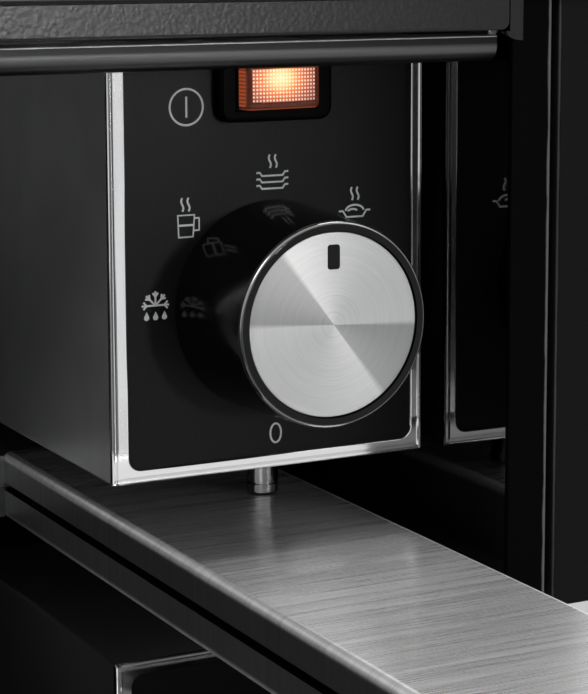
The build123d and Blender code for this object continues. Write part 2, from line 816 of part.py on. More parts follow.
def fan_baffle():
    """Plate across the duct that the fan is screwed to."""
    plate = block((duct_x0 + liner, cavity_half), (fan_y1, fan_y1 + liner), (box_floor, box_top))
    plate -= rod_y(fan_bore, fan_x, (fan_y1 - 1, fan_y1 + liner + 1), fan_z)
    sleeve_x, sleeve_z = sleeve_place()
    return plate - rod_y(sleeve_radius + hole_clearance, sleeve_x,
                         (fan_y1 - 1, fan_y1 + liner + 1), sleeve_z)


def fan_frame():
    """Square fan body with a round throat, four struts and the motor hub."""
    half = fan_size / 2
    frame = block((fan_x - half, fan_x + half), (fan_y0, fan_y1), (fan_z - half, fan_z + half))
    frame = fillet(frame.edges().filter_by(Axis.Y), 4.0)
    frame -= rod_y(fan_bore, fan_x, (fan_y0 - 1, fan_y1 + 1), fan_z)
    strut_y = (fan_y1 - 3.0, fan_y1)
    for turn in range(4):
        strut = block((0, fan_bore + 1), strut_y, (-1.5, 1.5))
        frame += Pos(fan_x, 0, fan_z) * Rot(0, 45 + 90 * turn, 0) * strut
    frame += rod_y(fan_hub_radius, fan_x, (fan_y1 - 6.0, fan_y1), fan_z)
    frame -= rod_y(fan_shaft_radius + running_clearance, fan_x, (fan_y1 - 7.0, fan_y1 - 1.0), fan_z)
    return frame


def fan_impeller():
    """Axial rotor: a cup over the motor, seven twisted blades and the shaft."""
    y = (fan_y0 + 1.5, fan_y1 - 6.5)
    rotor = rod_y(fan_hub_radius, fan_x, y, fan_z)
    rotor = fillet(rotor.edges().group_by(Axis.Y)[0], 1.5)
    rotor += rod_y(fan_shaft_radius, fan_x, (y[1], fan_y1 - 1.5), fan_z)
    reach = fan_bore - fan_blade_gap
    mid_y = (y[0] + y[1]) / 2
    for index in range(fan_blades):
        blade = Pos((fan_hub_radius + reach) / 2 - 1, 0, 0) * Rot(35, 0, 0) * \
            Box(reach - fan_hub_radius + 2, 1.2, 17.0)
        blade = blade & rod_y(reach, 0, (-20, 20), 0)
        rotor += Pos(fan_x, mid_y, fan_z) * Rot(0, index * 360 / fan_blades, 0) * blade
    return rotor


def heater_path_points():
    """Corner points of the heater tube, a W that lies level in the duct."""
    x0 = fan_x - 1.5 * heater_pitch
    y0 = heater_y0
    y1 = heater_y0 + heater_length
    turn = y0 + 30.0
    xs = [x0 + heater_pitch * step for step in range(4)]
    return [(xs[0], y0, fan_z), (xs[0], y1, fan_z), (xs[1], y1, fan_z), (xs[1], turn, fan_z),
            (xs[2], turn, fan_z), (xs[2], y1, fan_z), (xs[3], y1, fan_z), (xs[3], y0, fan_z)]


def heater_element():
    """Sheathed tubular heater bent into a W."""
    path = FilletPolyline(*heater_path_points(), radius=heater_pitch * 0.48)
    section = Plane(origin=path @ 0, z_dir=path % 0) * Circle(heater_tube_radius)
    return sweep(section, path=path)


def heater_bracket():
    """Plate on two legs that holds the heater's ends."""
    y = (heater_y0 + 3.0, heater_y0 + 4.5)
    half = 1.5 * heater_pitch + 8
    plate = block((fan_x - half, fan_x + half), y, (fan_z - 9, fan_z + 9))
    for sx in (-1, 1):
        x = sorted((fan_x + sx * half, fan_x + sx * (half - 9)))
        plate += block(x, y, (box_floor, fan_z))
        hole_x = fan_x + sx * 1.5 * heater_pitch
        plate -= rod_y(heater_tube_radius + hole_clearance, hole_x, (y[0] - 1, y[1] + 1), fan_z)
    return plate


def thermal_cutout():
    """Round thermal cut-out on the duct floor, with its two blades."""
    x = fan_x
    y = fan_y1 + heater_from_fan / 2
    body = rod_z(8.0, x, y, (box_floor, box_floor + 6.0))
    body = fillet(body.edges().group_by(Axis.Z)[-1], 1.0)
    for sx in (-1, 1):
        body += block((x + sx * 5 - 0.4, x + sx * 5 + 0.4), (y - 2.5, y + 2.5),
                      (box_floor + 5.5, box_floor + 14.0))
    return body


def temperature_probe():
    """Sensor bulb under the ceiling, in two clips."""
    x = box_left - 30.0
    y0 = cavity_back * 0.6
    z = ceiling - 6.0
    bulb = rod_y(probe_radius, x, (y0, y0 + probe_length), z)
    bulb = fillet(bulb.edges(), probe_radius * 0.6)
    for share in (0.3, 0.7):
        y = y0 + probe_length * share
        bulb += block((x - 3, x + 3), (y - 2, y + 2), (z - 1, ceiling))
    return bulb


def wiring_sleeve():
    """Heat-proof sleeve with the switch wiring, from the box to the rear space."""
    x, z = sleeve_place()
    return rod_y(sleeve_radius, x, (box_back - box_sheet - 8, cavity_back + liner + 12), z)


def mains_inlet():
    """Recessed appliance inlet in the back panel, with an outside flange."""
    x, z = inlet_place()
    y1 = housing_depth - skin
    body = block((x - inlet_width / 2, x + inlet_width / 2), (y1 - inlet_depth, y1),
                 (z - inlet_height / 2, z + inlet_height / 2))
    outline = Pos(x, z) * RectangleRounded(inlet_width + 7, inlet_height + 6, 3.0)
    flange = along_y(outline, (y1, y1 + inlet_flange))
    body += fillet(flange.edges().group_by(Axis.Y)[-1], 0.6)
    recess = block((x - inlet_width / 2 + inlet_wall, x + inlet_width / 2 - inlet_wall),
                   (y1 - inlet_depth + 6, y1 + inlet_flange + 1),
                   (z - inlet_height / 2 + inlet_wall, z + inlet_height / 2 - inlet_wall))
    body -= recess
    for px, pz in inlet_pin_places():
        body -= block((px - 2.0, px + 2.0), (y1 - inlet_depth - 1, y1 - inlet_depth + 7),
                      (pz - 1.0, pz + 1.0))
    return body


def inlet_pin_places():
    x, z = inlet_place()
    return [(x - 7, z + 2), (x, z - 2), (x + 7, z + 2)]


def inlet_pin_y():
    """From the soldering tab behind the inlet to the tip inside its recess."""
    y1 = housing_depth - skin
    return y1 - inlet_depth - 8, y1 - 3


# ---- telescopic rails -------------------------------------------------------------
def track_channel(half, floor, top, lip):
    """An upward channel whose walls end in turned-in lips."""
    y = (rail_start, rail_start + rail_length)
    outline = area((track_x - half, track_x + half), (floor, top))
    inner = half - track_sheet
    outline -= area((track_x - inner, track_x + inner), (floor + track_sheet, top - track_sheet))
    outline -= area((track_x - inner + lip, track_x + inner - lip), (floor + track_sheet, top + 1))
    return along_y(outline, y)


def cabinet_rail():
    """Fixed right rail on the floor of the housing."""
    return track_channel(track_width / 2, track_floor, track_floor + track_height, track_lip)


def middle_rail():
    """Middle right rail, which runs inside the fixed one."""
    half = track_width / 2 - track_sheet - track_gap
    top = track_floor + track_height - track_sheet - track_gap
    return track_channel(half, middle_floor, top, track_lip)


def drawer_rail():
    """Right rail of the drawer: a hat section held under the middle rail's lips."""
    reach = track_width / 2 - 2 * track_sheet - 2 * track_gap
    web = reach - track_lip - track_gap - track_sheet
    y = (rail_start, rail_start + rail_length)
    floor = drawer_track_floor
    hat = area((track_x - reach, track_x - web), (floor, floor + track_sheet))
    hat += area((track_x + web, track_x + reach), (floor, floor + track_sheet))
    hat += area((track_x - web, track_x + web), (floor, drawer_track_top))
    hat -= area((track_x - web + track_sheet, track_x + web - track_sheet),
                (floor - 1, drawer_track_top - track_sheet))
    return along_y(hat, y)


def slide_brackets():
    """Hat strips that carry each deck on its drawer rail."""
    half = bracket_width / 2
    y0 = rail_start + (rail_length - bracket_length) / 2
    outline = area((track_x - half, track_x + half), (drawer_track_top, deck_under))
    outline -= area((track_x - half + track_sheet, track_x + half - track_sheet),
                    (drawer_track_top - 1, deck_under - track_sheet))
    bracket = along_y(outline, (y0, y0 + bracket_length))
    return group(bracket, other_side(bracket))


# ---- drawer -----------------------------------------------------------------------
def drawer_pan():
    """Steel tray under the glass; its upturned sides carry the decks."""
    y = (front_back, front_back + drawer_depth)
    pan = block((-pan_half, pan_half), y, (pan_bottom, deck_under))
    pan -= block((-pan_half + pan_sheet, pan_half - pan_sheet), (y[0] + pan_sheet, y[1] - pan_sheet),
                 (glass_bottom, deck_top))
    for sx in (-1, 1):
        x = sorted((sx * (deck_inner - running_clearance), sx * (pan_half - pan_sheet)))
        pan -= block(x, (y[0] - 1, y[1] + 1), (glass_top + deck_shadow - 3 * seat_gap, deck_top))
    for x in pan_screw_xs:
        pan -= screw_hole(x, y[0] + pan_sheet, pan_screw_z, (0, 1, 0))
    return pan


def glass_base():
    """Black toughened glass that the dishes stand on."""
    gap = 3 * seat_gap
    half = pan_half - pan_sheet - gap
    y = (front_back + pan_sheet + gap, front_back + drawer_depth - pan_sheet - gap)
    glass = block((-half, half), y, (glass_bottom, glass_top))
    return chamfer(glass.edges().group_by(Axis.Z)[-1], 0.4)


def side_deck():
    """Right brushed deck: a sheet with a rolled inner edge over the glass."""
    y = (front_back, front_back + drawer_depth)
    outline = area((deck_inner, deck_outer), (pan_bottom + pan_sheet, deck_top))
    outline -= area((deck_inner - 1, deck_inner + deck_sheet * 1.5), (0, glass_top + deck_shadow))
    corners = outline.vertices().group_by(Axis.Y)[-1]
    outline = fillet(corners, deck_round)
    inner = area((deck_inner + deck_sheet, deck_outer - deck_sheet), (0, deck_under))
    inner = fillet(inner.vertices().group_by(Axis.Y)[-1], deck_round - deck_sheet)
    return along_y(outline - inner, y)


def drawer_front_inner():
    """Steel plate that closes the back of the drawer front."""
    inset = front_sheet + seat_gap
    plate = block((-half_width + inset, half_width - inset), (front_back - inner_plate, front_back),
                  (front_bottom + inset, front_top - inset))
    for x in pan_screw_xs:
        plate -= screw_hole(x, front_back, pan_screw_z, (0, 1, 0))
    return plate


def drawer_front_skin():
    """Outer skin of the drawer front: a shallow folded tray with soft edges."""
    front = block((-half_width, half_width), (front_face, front_back), (front_bottom, front_top))
    front = fillet(front.edges().group_by(Axis.Y)[0], front_round)
    front -= block((-half_width + front_sheet, half_width - front_sheet),
                   (front_face + front_sheet, front_back + 1),
                   (front_bottom + front_sheet, front_top - front_sheet))
    return front


def drawer_gasket():
    """Silicone seal on three sides of the drawer front's inner plate."""
    outer = half_width - gasket_inset
    inner = outer - gasket_width
    z0 = front_bottom + front_sheet + 4 * seat_gap
    z1 = front_top - gasket_inset
    base = z0 + (pan_bottom - z0) * 0.7
    outline = area((-outer, outer), (z0, z1)) - area((-inner, inner), (base, z1 + 1))
    seal = along_y(outline, (front_back, front_back + gasket_thickness))
    return fillet(seal.edges().group_by(Axis.Y)[-1], 0.4)


def handle_bar():
    x = handle_length / 2
    bar = rod_x(handle_radius, (-x, x), handle_y, handle_z)
    bar = fillet(bar.edges(), 1.2)
    return bar


def handle_posts():
    """Two posts between the drawer front and the bar, each shaped to the bar's round."""
    x = handle_length / 2 - handle_post_inset
    post = rod_y(handle_post_radius, x, (handle_y, front_face), handle_z)
    post -= rod_x(handle_radius, (x - 20, x + 20), handle_y, handle_z)
    post = post.solids().sort_by(Axis.Y)[-1]
    return group(post, other_side(post))


# ---- fasteners --------------------------------------------------------------------
def housing_screws():
    """Pan-head screws of the covers, the feet and the selector."""
    screws = []
    for y in side_screw_ys:
        screws.append(screw(half_width, y, side_screw_z, (-1, 0, 0)))
        screws.append(screw(-half_width, y, side_screw_z, (1, 0, 0)))
    for x in back_screw_xs:
        for z in back_screw_zs:
            screws.append(screw(x, housing_depth - skin, z, (0, -1, 0)))
    for x, y in foot_places:
        screws.append(screw(x, y, floor_top, (0, 0, -1)))
    for sx in (-1, 1):
        screws.append(screw(dial_x + sx * selector_screw_spread, panel_front, dial_z, (0, 1, 0)))
    return group(*screws)


def drawer_screws():
    """Screws that hold the tray to the drawer front."""
    return group(*[screw(x, front_back + pan_sheet, pan_screw_z, (0, -1, 0)) for x in pan_screw_xs])


# ---- write the nodes --------------------------------------------------------------
fixed = {
    "base_pan": base_pan(),
    "right_side_panel": side_panel(),
    "left_side_panel": other_side(side_panel()),
    "top_cover": top_cover(),
    "back_panel": back_panel(),
    "feet": feet(),
    "right_front_post": front_post(),
    "left_front_post": other_side(front_post()),
    "right_liner": side_liner(),
    "left_liner": other_side(side_liner()),
    "ceiling_liner": ceiling_liner(),
    "rear_liner": rear_liner(),
    "insulation_blankets": insulation_blankets(),
    "front_cross_rail": front_cross_rail(),
    "top_fascia": top_fascia(),
    "fascia_end_tabs": fascia_end_tabs(),
    "control_box": control_box(),
    "control_box_cover": control_box_cover(),
    "control_box_spacer": control_box_spacer(),
    "control_panel": control_panel(),
    "glide_stud": glide_stud(),
    "selector_body": selector_body(),
    "rocker_housing": rocker_housing(),
    "brass_contacts": brass_contacts(),
    "duct_side_panel": duct_side_panel(),
    "duct_floor": duct_floor(),
    "fan_baffle": fan_baffle(),
    "fan_frame": fan_frame(),
    "heater_element": heater_element(),
    "heater_bracket": heater_bracket(),
    "thermal_cutout": thermal_cutout(),
    "temperature_probe": temperature_probe(),
    "wiring_sleeve": wiring_sleeve(),
    "mains_inlet": mains_inlet(),
    "right_cabinet_rail": cabinet_rail(),
    "left_cabinet_rail": other_side(cabinet_rail()),
    "housing_screws": housing_screws(),
}
turning = {
    "selector_shaft": selector_shaft(),
    "knob_body": knob_body(),
    "knob_disc": knob_disc(),
    "knob_pointer": knob_pointer(),
    "rocker_lens": rocker_lens(),
    "rocker_cradle": rocker_cradle(),
    "rocker_lamp": rocker_lamp(),
    "fan_impeller": fan_impeller(),
}
half_open = {
    "right_middle_rail": middle_rail(),
    "left_middle_rail": other_side(middle_rail()),
}
drawer = {
    "drawer_pan": drawer_pan(),
    "glass_base": glass_base(),
    "right_deck": side_deck(),
    "left_deck": other_side(side_deck()),
    "drawer_front_inner": drawer_front_inner(),
    "drawer_front_skin": drawer_front_skin(),
    "drawer_gasket": drawer_gasket(),
    "handle_bar": handle_bar(),
    "handle_posts": handle_posts(),
    "right_drawer_rail": drawer_rail(),
    "left_drawer_rail": other_side(drawer_rail()),
    "slide_brackets": slide_brackets(),
    "drawer_screws": drawer_screws(),
}

os.makedirs("parts", exist_ok=True)
for nodes, drawn_out in ((fixed, 0.0), (turning, 0.0), (half_open, drawer_open / 2), (drawer, drawer_open)):
    for name, shape in nodes.items():
        placed = Pos(0, -origin_y - drawn_out, 0) * shape
        export_step(placed, f"parts/{name}.step")

print("origin shift along Y:", -origin_y)
print("drawer travel:", drawer_open)
print("knob axis X, Z:", dial_x, dial_z, " tip Y:", knob_tip - origin_y)
print("rocker pivot X, Y, Z:", dial_x, switch_pivot_y - origin_y, switch_z)
print("fan axis X, Z:", fan_x, fan_z, " Y:", fan_y0 - origin_y, fan_y1 - origin_y)
print("housing top:", housing_top, " cavity half width:", cavity_half, " ceiling:", ceiling)
print("box X:", box_left, box_right, " Y:", box_front - origin_y, box_back - origin_y,
      " Z:", box_bottom, box_top)
print("deck X:", deck_inner, deck_outer, " top:", deck_top, " glass top:", glass_top)
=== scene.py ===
# %% [markdown]
# # A warming drawer, drawn open
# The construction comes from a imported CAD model, so every piece already has its real size
# and place. This lesson adds what CAD leaves out: the finish of each metal, the glowing
# rocker lens, the printed symbols, the light and the camera. Blender works in metres, and a
# length written in millimetres is multiplied by MM.

# %% Load the frame
import json
import math

import bpy
import bmesh
from mathutils import Matrix, Vector

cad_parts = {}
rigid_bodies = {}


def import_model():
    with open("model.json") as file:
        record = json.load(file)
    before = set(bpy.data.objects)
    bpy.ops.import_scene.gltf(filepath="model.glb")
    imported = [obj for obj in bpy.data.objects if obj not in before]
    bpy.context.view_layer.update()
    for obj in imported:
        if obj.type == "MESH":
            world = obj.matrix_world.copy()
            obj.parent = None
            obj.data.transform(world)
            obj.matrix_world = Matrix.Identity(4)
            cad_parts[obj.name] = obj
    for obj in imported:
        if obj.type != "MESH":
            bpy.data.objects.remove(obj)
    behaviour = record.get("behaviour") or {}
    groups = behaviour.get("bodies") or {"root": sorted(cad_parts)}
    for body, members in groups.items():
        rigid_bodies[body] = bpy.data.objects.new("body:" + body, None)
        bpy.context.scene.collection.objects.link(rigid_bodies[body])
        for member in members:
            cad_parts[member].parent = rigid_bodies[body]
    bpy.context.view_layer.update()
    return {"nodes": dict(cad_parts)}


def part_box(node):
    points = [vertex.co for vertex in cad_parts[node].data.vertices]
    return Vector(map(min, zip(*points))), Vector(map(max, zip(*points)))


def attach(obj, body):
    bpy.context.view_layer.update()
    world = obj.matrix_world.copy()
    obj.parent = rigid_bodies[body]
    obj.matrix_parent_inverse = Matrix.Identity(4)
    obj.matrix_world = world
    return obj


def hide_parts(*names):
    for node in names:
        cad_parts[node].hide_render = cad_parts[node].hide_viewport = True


for leftover in list(bpy.data.objects):
    bpy.data.objects.remove(leftover)
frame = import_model()
nodes = frame["nodes"]
MM = 0.001

# %% [markdown]
# ## The camera
# The photograph looks down a little into the opened drawer from its left, with a long lens
# held close. A pinhole camera is described by where it stands, by two turns and a small roll,
# and by its focal length. The lens is worked out from a focal length in picture pixels,
# because that is what a measurement in the photograph gives. The lens is also slid a little
# down and across, as a product photographer does to keep upright edges nearly parallel.

# %% Camera
picture_width, picture_height = 588, 694
focal_pixels = 2226.1
camera_place = Vector((-7.0, -501.5, 170.0)) * MM
camera_turn, camera_dip, camera_roll = (math.radians(angle) for angle in (27.585, 8.367, 0.117))
shift_across, shift_down = 0.04, 0.12

forward = Vector((math.sin(camera_turn) * math.cos(camera_dip),
                  math.cos(camera_turn) * math.cos(camera_dip),
                  -math.sin(camera_dip)))
level_right = Vector((math.cos(camera_turn), -math.sin(camera_turn), 0))
level_down = forward.cross(level_right)
right = level_right * math.cos(camera_roll) + level_down * math.sin(camera_roll)
up = right.cross(forward)

camera = bpy.data.objects.new("camera", bpy.data.cameras.new("camera"))
bpy.context.scene.collection.objects.link(camera)
axes = Matrix((right, up, -forward)).transposed()
camera.matrix_world = Matrix.Translation(camera_place) @ axes.to_4x4()
camera.data.sensor_width = 36.0
camera.data.lens = focal_pixels * camera.data.sensor_width / max(picture_width, picture_height)
camera.data.shift_x, camera.data.shift_y = -shift_across, -shift_down
camera.data.clip_start = 0.01
bpy.context.scene.camera = camera
print("lens in millimetres:", round(camera.data.lens, 2))

# %% [markdown]
# ## Light and floor
# The object is mostly dark polished metal, so it shows its surroundings more than its own
# colour. A pale world gives the bright strips on edges that face the room, while the housing
# keeps the cavity dark. The world looks paler in reflections than the light it gives, so the
# shadows aren't filled. Four wide area lights model the knob, the deck and the housing. A
# fifth is a narrow beam that reaches only the grained fascia and leaves the floor alone. The
# floor is a plain pale plane; it isn't part of the object.

# %% World and floor
scene = bpy.context.scene
scene.view_settings.view_transform = "Standard"

world = bpy.data.worlds.new("studio")
scene.world = world
world.use_nodes = True
world_nodes, world_links = world.node_tree.nodes, world.node_tree.links
background = world_nodes["Background"]
light_path = world_nodes.new("ShaderNodeLightPath")
seen = light_path.outputs["Is Camera Ray"]
for ray in ("Is Glossy Ray", "Is Transmission Ray"):
    either = world_nodes.new("ShaderNodeMath")
    either.operation = "MAXIMUM"
    world_links.new(seen, either.inputs[0])
    world_links.new(light_path.outputs[ray], either.inputs[1])
    seen = either.outputs[0]
world_light, world_look = (0.46, 0.465, 0.47, 1), (0.82, 0.82, 0.82, 1)
world_colour = world_nodes.new("ShaderNodeMix")
world_colour.data_type = "RGBA"
world_links.new(seen, world_colour.inputs["Factor"])
world_colour.inputs["A"].default_value = world_light
world_colour.inputs["B"].default_value = world_look
world_links.new(world_colour.outputs["Result"], background.inputs["Color"])

floor_mesh = bpy.data.meshes.new("floor")
reach = 12.0
floor_corners = [(-reach, -reach, 0), (reach, -reach, 0), (reach, reach, 0), (-reach, reach, 0)]
floor_mesh.from_pydata(floor_corners, [], [(0, 1, 2, 3)])
floor = bpy.data.objects.new("floor", floor_mesh)
scene.collection.objects.link(floor)
print("floor reaches", reach, "m each way")


# %% Area lights
def area_light(name, stand, target, size, power, spread):
    """A soft rectangular light at a place, turned towards a target; spread in degrees."""
    lamp = bpy.data.objects.new(name, bpy.data.lights.new(name, "AREA"))
    lamp.data.shape = "RECTANGLE"
    lamp.data.size, lamp.data.size_y = size
    lamp.data.energy = power
    lamp.data.spread = math.radians(spread)
    lamp.location = stand
    lamp.rotation_euler = (Vector(target) - Vector(stand)).to_track_quat("-Z", "Y").to_euler()
    lamp.visible_camera = False
    scene.collection.objects.link(lamp)


knob_middle = (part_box("knob_disc")[0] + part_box("knob_disc")[1]) / 2
wide, beam = 180.0, 10.0
lamps = (  # name, place, target, size in metres, power in watts, spread in degrees
    ("key_left", (-1.5, -1.5, 1.9), knob_middle, (1.0, 1.0), 20.0, wide),
    ("overhead", (0.62, -0.07, 1.00), (0.22, -0.12, 0.03), (0.35, 0.30), 4.6, wide),
    ("fascia_glow", (0.44, -1.17, 0.21), (0.135, -0.062, 0.153), (0.20, 0.20), 0.045, beam),
    ("fill_right", (1.7, -1.3, 1.3), knob_middle, (0.8, 1.2), 5.0, wide),
    ("back_soft", (-0.6, 2.4, 1.8), (0, 0.2, 0.1), (2.0, 1.0), 20.0, wide))
for lamp_values in lamps:
    area_light(*lamp_values)
print("lamps:", [lamp_values[0] for lamp_values in lamps])

# %% [markdown]
# ## Effects as node groups
# Brushing, handling smudges, paint speckle, leather-like grain with painted crease shade,
# painted edge highlights and turned rings are each built once, as a node group that puts out
# plain numbers. A material places the groups that it needs, with its own values. The groups
# read positions in metres, so a brushed line is as wide on the deck as it is on the drawer front.

# %% Node helpers
def fill(tree, node, inputs):
    """Fill or connect a node's inputs; each value is a constant or a socket."""
    for name, value in inputs.items():
        if isinstance(value, bpy.types.NodeSocket):
            tree.links.new(value, node.inputs[name])
        else:
            node.inputs[name].default_value = value


def place(tree, kind, inputs=None, **settings):
    """Add a node, set its options, and fill or connect its inputs."""
    node = tree.nodes.new(kind)
    for name, value in settings.items():
        setattr(node, name, value)
    fill(tree, node, inputs or {})
    return node


def start_group(name, inputs, outputs):
    """An empty node group: inputs are (name, socket type, value), outputs (name, socket type)."""
    group = bpy.data.node_groups.new(name, "ShaderNodeTree")
    for label, kind, value in inputs:
        socket = group.interface.new_socket(name=label, in_out="INPUT", socket_type=kind)
        socket.default_value = value
    for label, kind in outputs:
        group.interface.new_socket(name=label, in_out="OUTPUT", socket_type=kind)
    given, out = group.nodes.new("NodeGroupInput"), group.nodes.new("NodeGroupOutput")
    return group, given.outputs, out.inputs


NUMBER, VECTOR = "NodeSocketFloat", "NodeSocketVector"


def arithmetic(tree, operation, first, second=0.0, third=0.0, clamp=False):
    """One Math node; each value is a number or a socket."""
    return place(tree, "ShaderNodeMath", {0: first, 1: second, 2: third},
                 operation=operation, use_clamp=clamp).outputs[0]


def vectors(tree, operation, first, second=(0, 0, 0)):
    """One Vector Math node; each value is a vector or a socket."""
    return place(tree, "ShaderNodeVectorMath", {0: first, 1: second},
                 operation=operation).outputs[0]


def scaled(tree, position, factors):
    """A position multiplied, axis by axis."""
    return vectors(tree, "MULTIPLY", position, factors)


def length_of(tree, vector):
    """The length of a vector."""
    return place(tree, "ShaderNodeVectorMath", {0: vector}, operation="LENGTH").outputs["Value"]


def axes_of(tree, vector):
    """The X, Y and Z of a vector."""
    return place(tree, "ShaderNodeSeparateXYZ", {0: vector}).outputs


def step_between(tree, value, start, stop, shape="SMOOTHSTEP"):
    """A number that is 0 up to the start value and 1 from the stop value on."""
    return place(tree, "ShaderNodeMapRange", {"Value": value, "From Min": start, "From Max": stop},
                 interpolation_type=shape).outputs["Result"]


def contrasted(tree, noise, contrast):
    """A noise spread about its middle value."""
    return arithmetic(tree, "MULTIPLY_ADD", arithmetic(tree, "SUBTRACT", noise, 0.5),
                      arithmetic(tree, "MULTIPLY", contrast, 4.0), 0.5, clamp=True)


# %% Brushed lines
brushing, given, out = start_group(
    "brushed_lines",
    [("Position", VECTOR, (0, 0, 0)), ("Lines", VECTOR, (4, 3000, 4)), ("Contrast", NUMBER, 0.3)],
    [("Tone", NUMBER), ("Height", NUMBER)])
fine_share, broad_scale = 0.65, 0.13
stretched = scaled(brushing, given["Position"], given["Lines"])
fine = place(brushing, "ShaderNodeTexNoise", {
    "Vector": stretched, "Scale": 1.0, "Detail": 3.0, "Roughness": 0.7})
broad = place(brushing, "ShaderNodeTexNoise", {
    "Vector": stretched, "Scale": broad_scale, "Detail": 2.0, "Roughness": 0.6})
both = arithmetic(brushing, "ADD",
                  arithmetic(brushing, "MULTIPLY", fine.outputs["Fac"], fine_share),
                  arithmetic(brushing, "MULTIPLY", broad.outputs["Fac"], 1 - fine_share))
brushing.links.new(contrasted(brushing, both, given["Contrast"]), out["Tone"])
brushing.links.new(both, out["Height"])

# %% Smudges
smudging, given, out = start_group(
    "handling_smudges",
    [("Position", VECTOR, (0, 0, 0)), ("Size", NUMBER, 0.03), ("Share", NUMBER, 0.4)],
    [("Mask", NUMBER)])
patches = place(smudging, "ShaderNodeTexNoise", {
    "Vector": given["Position"], "Detail": 4.0, "Roughness": 0.55, "Distortion": 0.6,
    "Scale": arithmetic(smudging, "DIVIDE", 1.0, given["Size"])})
softness = 0.16
edge = arithmetic(smudging, "SUBTRACT", 1.0, given["Share"])
smudging.links.new(step_between(smudging, patches.outputs["Fac"],
                                arithmetic(smudging, "SUBTRACT", edge, softness),
                                arithmetic(smudging, "ADD", edge, softness)), out["Mask"])

# %% Paint speckle
speckling, given, out = start_group(
    "paint_speckle",
    [("Position", VECTOR, (0, 0, 0)), ("Grain", NUMBER, 0.0005)],
    [("Tone", NUMBER), ("Height", NUMBER)])
grains = place(speckling, "ShaderNodeTexNoise", {
    "Vector": given["Position"], "Detail": 2.0, "Roughness": 0.75,
    "Scale": arithmetic(speckling, "DIVIDE", 1.0, given["Grain"])})
speckling.links.new(step_between(speckling, grains.outputs["Fac"], 0.3, 0.7, "LINEAR"), out["Tone"])
speckling.links.new(grains.outputs["Fac"], out["Height"])

# %% Leather-like grain
graining, given, out = start_group(
    "pressed_grain",
    [("Position", VECTOR, (0, 0, 0)), ("Cell", NUMBER, 0.0016)],
    [("Height", NUMBER), ("PaintedCreaseShade", NUMBER)])
wander = 1.2 * MM
bend = place(graining, "ShaderNodeTexNoise", {
    "Vector": given["Position"], "Detail": 2.0,
    "Scale": arithmetic(graining, "DIVIDE", 0.6, given["Cell"])})
shifted = vectors(graining, "ADD", scaled(graining, bend.outputs["Color"], (wander,) * 3),
                  given["Position"])
cells = place(graining, "ShaderNodeTexVoronoi", {
    "Vector": shifted, "Scale": arithmetic(graining, "DIVIDE", 1.0, given["Cell"]),
    "Smoothness": 0.7, "Randomness": 1.0}, feature="SMOOTH_F1")
distance = cells.outputs["Distance"]
graining.links.new(arithmetic(graining, "SUBTRACT", 1.0, distance), out["Height"])
# painted shade: how far a point lies into a crease, used to darken it
graining.links.new(step_between(graining, distance, 0.25, 0.75, "LINEAR"), out["PaintedCreaseShade"])

# %% Painted edge highlights
edge_highlighting, given, out = start_group(
    "painted_edge_highlight",
    [("Position", VECTOR, (0, 0, 0)), ("Place", NUMBER, 0.28), ("Width", NUMBER, 0.0005)],
    [("Mask", NUMBER)])
# painted highlight: a ragged upright line at a given distance from the middle in X
across = arithmetic(edge_highlighting, "ABSOLUTE", axes_of(edge_highlighting, given["Position"])["X"])
from_edge = arithmetic(edge_highlighting, "ABSOLUTE", arithmetic(
    edge_highlighting, "SUBTRACT", across, given["Place"]))
uneven = place(edge_highlighting, "ShaderNodeTexNoise", {
    "Vector": given["Position"], "Scale": 90.0, "Detail": 3.0})
highlight_reach = arithmetic(edge_highlighting, "MULTIPLY", given["Width"], arithmetic(
    edge_highlighting, "MULTIPLY_ADD", uneven.outputs["Fac"], 0.8, 0.6))
full_highlight_share = 0.55
full_highlight_reach = arithmetic(edge_highlighting, "MULTIPLY", highlight_reach, full_highlight_share)
edge_highlighting.links.new(step_between(edge_highlighting, from_edge, highlight_reach, full_highlight_reach), out["Mask"])

# %% Turned rings
turning, given, out = start_group(
    "turned_rings",
    [("Radius", NUMBER, 0.01), ("Position", VECTOR, (0, 0, 0)), ("Rings", NUMBER, 4000.0),
     ("Contrast", NUMBER, 0.3)],
    [("Tone", NUMBER), ("Height", NUMBER)])
ring_noise = place(turning, "ShaderNodeTexNoise", {
    "W": arithmetic(turning, "MULTIPLY", given["Radius"], given["Rings"]),
    "Vector": scaled(turning, given["Position"], (60.0, 60.0, 60.0)),
    "Scale": 1.0, "Detail": 3.0, "Roughness": 0.8}, noise_dimensions="4D")
turning.links.new(contrasted(turning, ring_noise.outputs["Fac"], given["Contrast"]), out["Tone"])
turning.links.new(ring_noise.outputs["Fac"], out["Height"])
print("effects:", [group.name for group in bpy.data.node_groups])

# %% [markdown]
# ## Materials
# Each material keeps its own shader and takes its surface from the groups. Metals vary in
# tone and roughness between a darker and a lighter value, because a real brushed or polished
# sheet never has one flat colour.

# %% Material helpers
def start_material(name):
    """An empty material: its tree, its shader and the position on the piece in metres."""
    material = bpy.data.materials.new(name)
    material.use_nodes = True
    tree = material.node_tree
    shader = tree.nodes["Principled BSDF"]
    position = place(tree, "ShaderNodeTexCoord").outputs["Object"]
    return material, tree, shader, position


def use_effect(tree, name, **inputs):
    """Place one of the effect groups."""
    return place(tree, "ShaderNodeGroup", inputs, node_tree=bpy.data.node_groups[name]).outputs


def grey(value, warmth=0.0):
    """A neutral colour, a little warmer or cooler."""
    return (value * (1 + warmth), value, value * (1 - warmth), 1.0)


def between(tree, factor, low, high):
    """A colour between two colours."""
    mix = place(tree, "ShaderNodeMix", {"Factor": factor, "A": low, "B": high}, data_type="RGBA")
    return mix.outputs["Result"]


def value_range(tree, factor, low, high):
    """A number between two numbers."""
    node = place(tree, "ShaderNodeMapRange", {"Value": factor, "To Min": low, "To Max": high})
    return node.outputs["Result"]


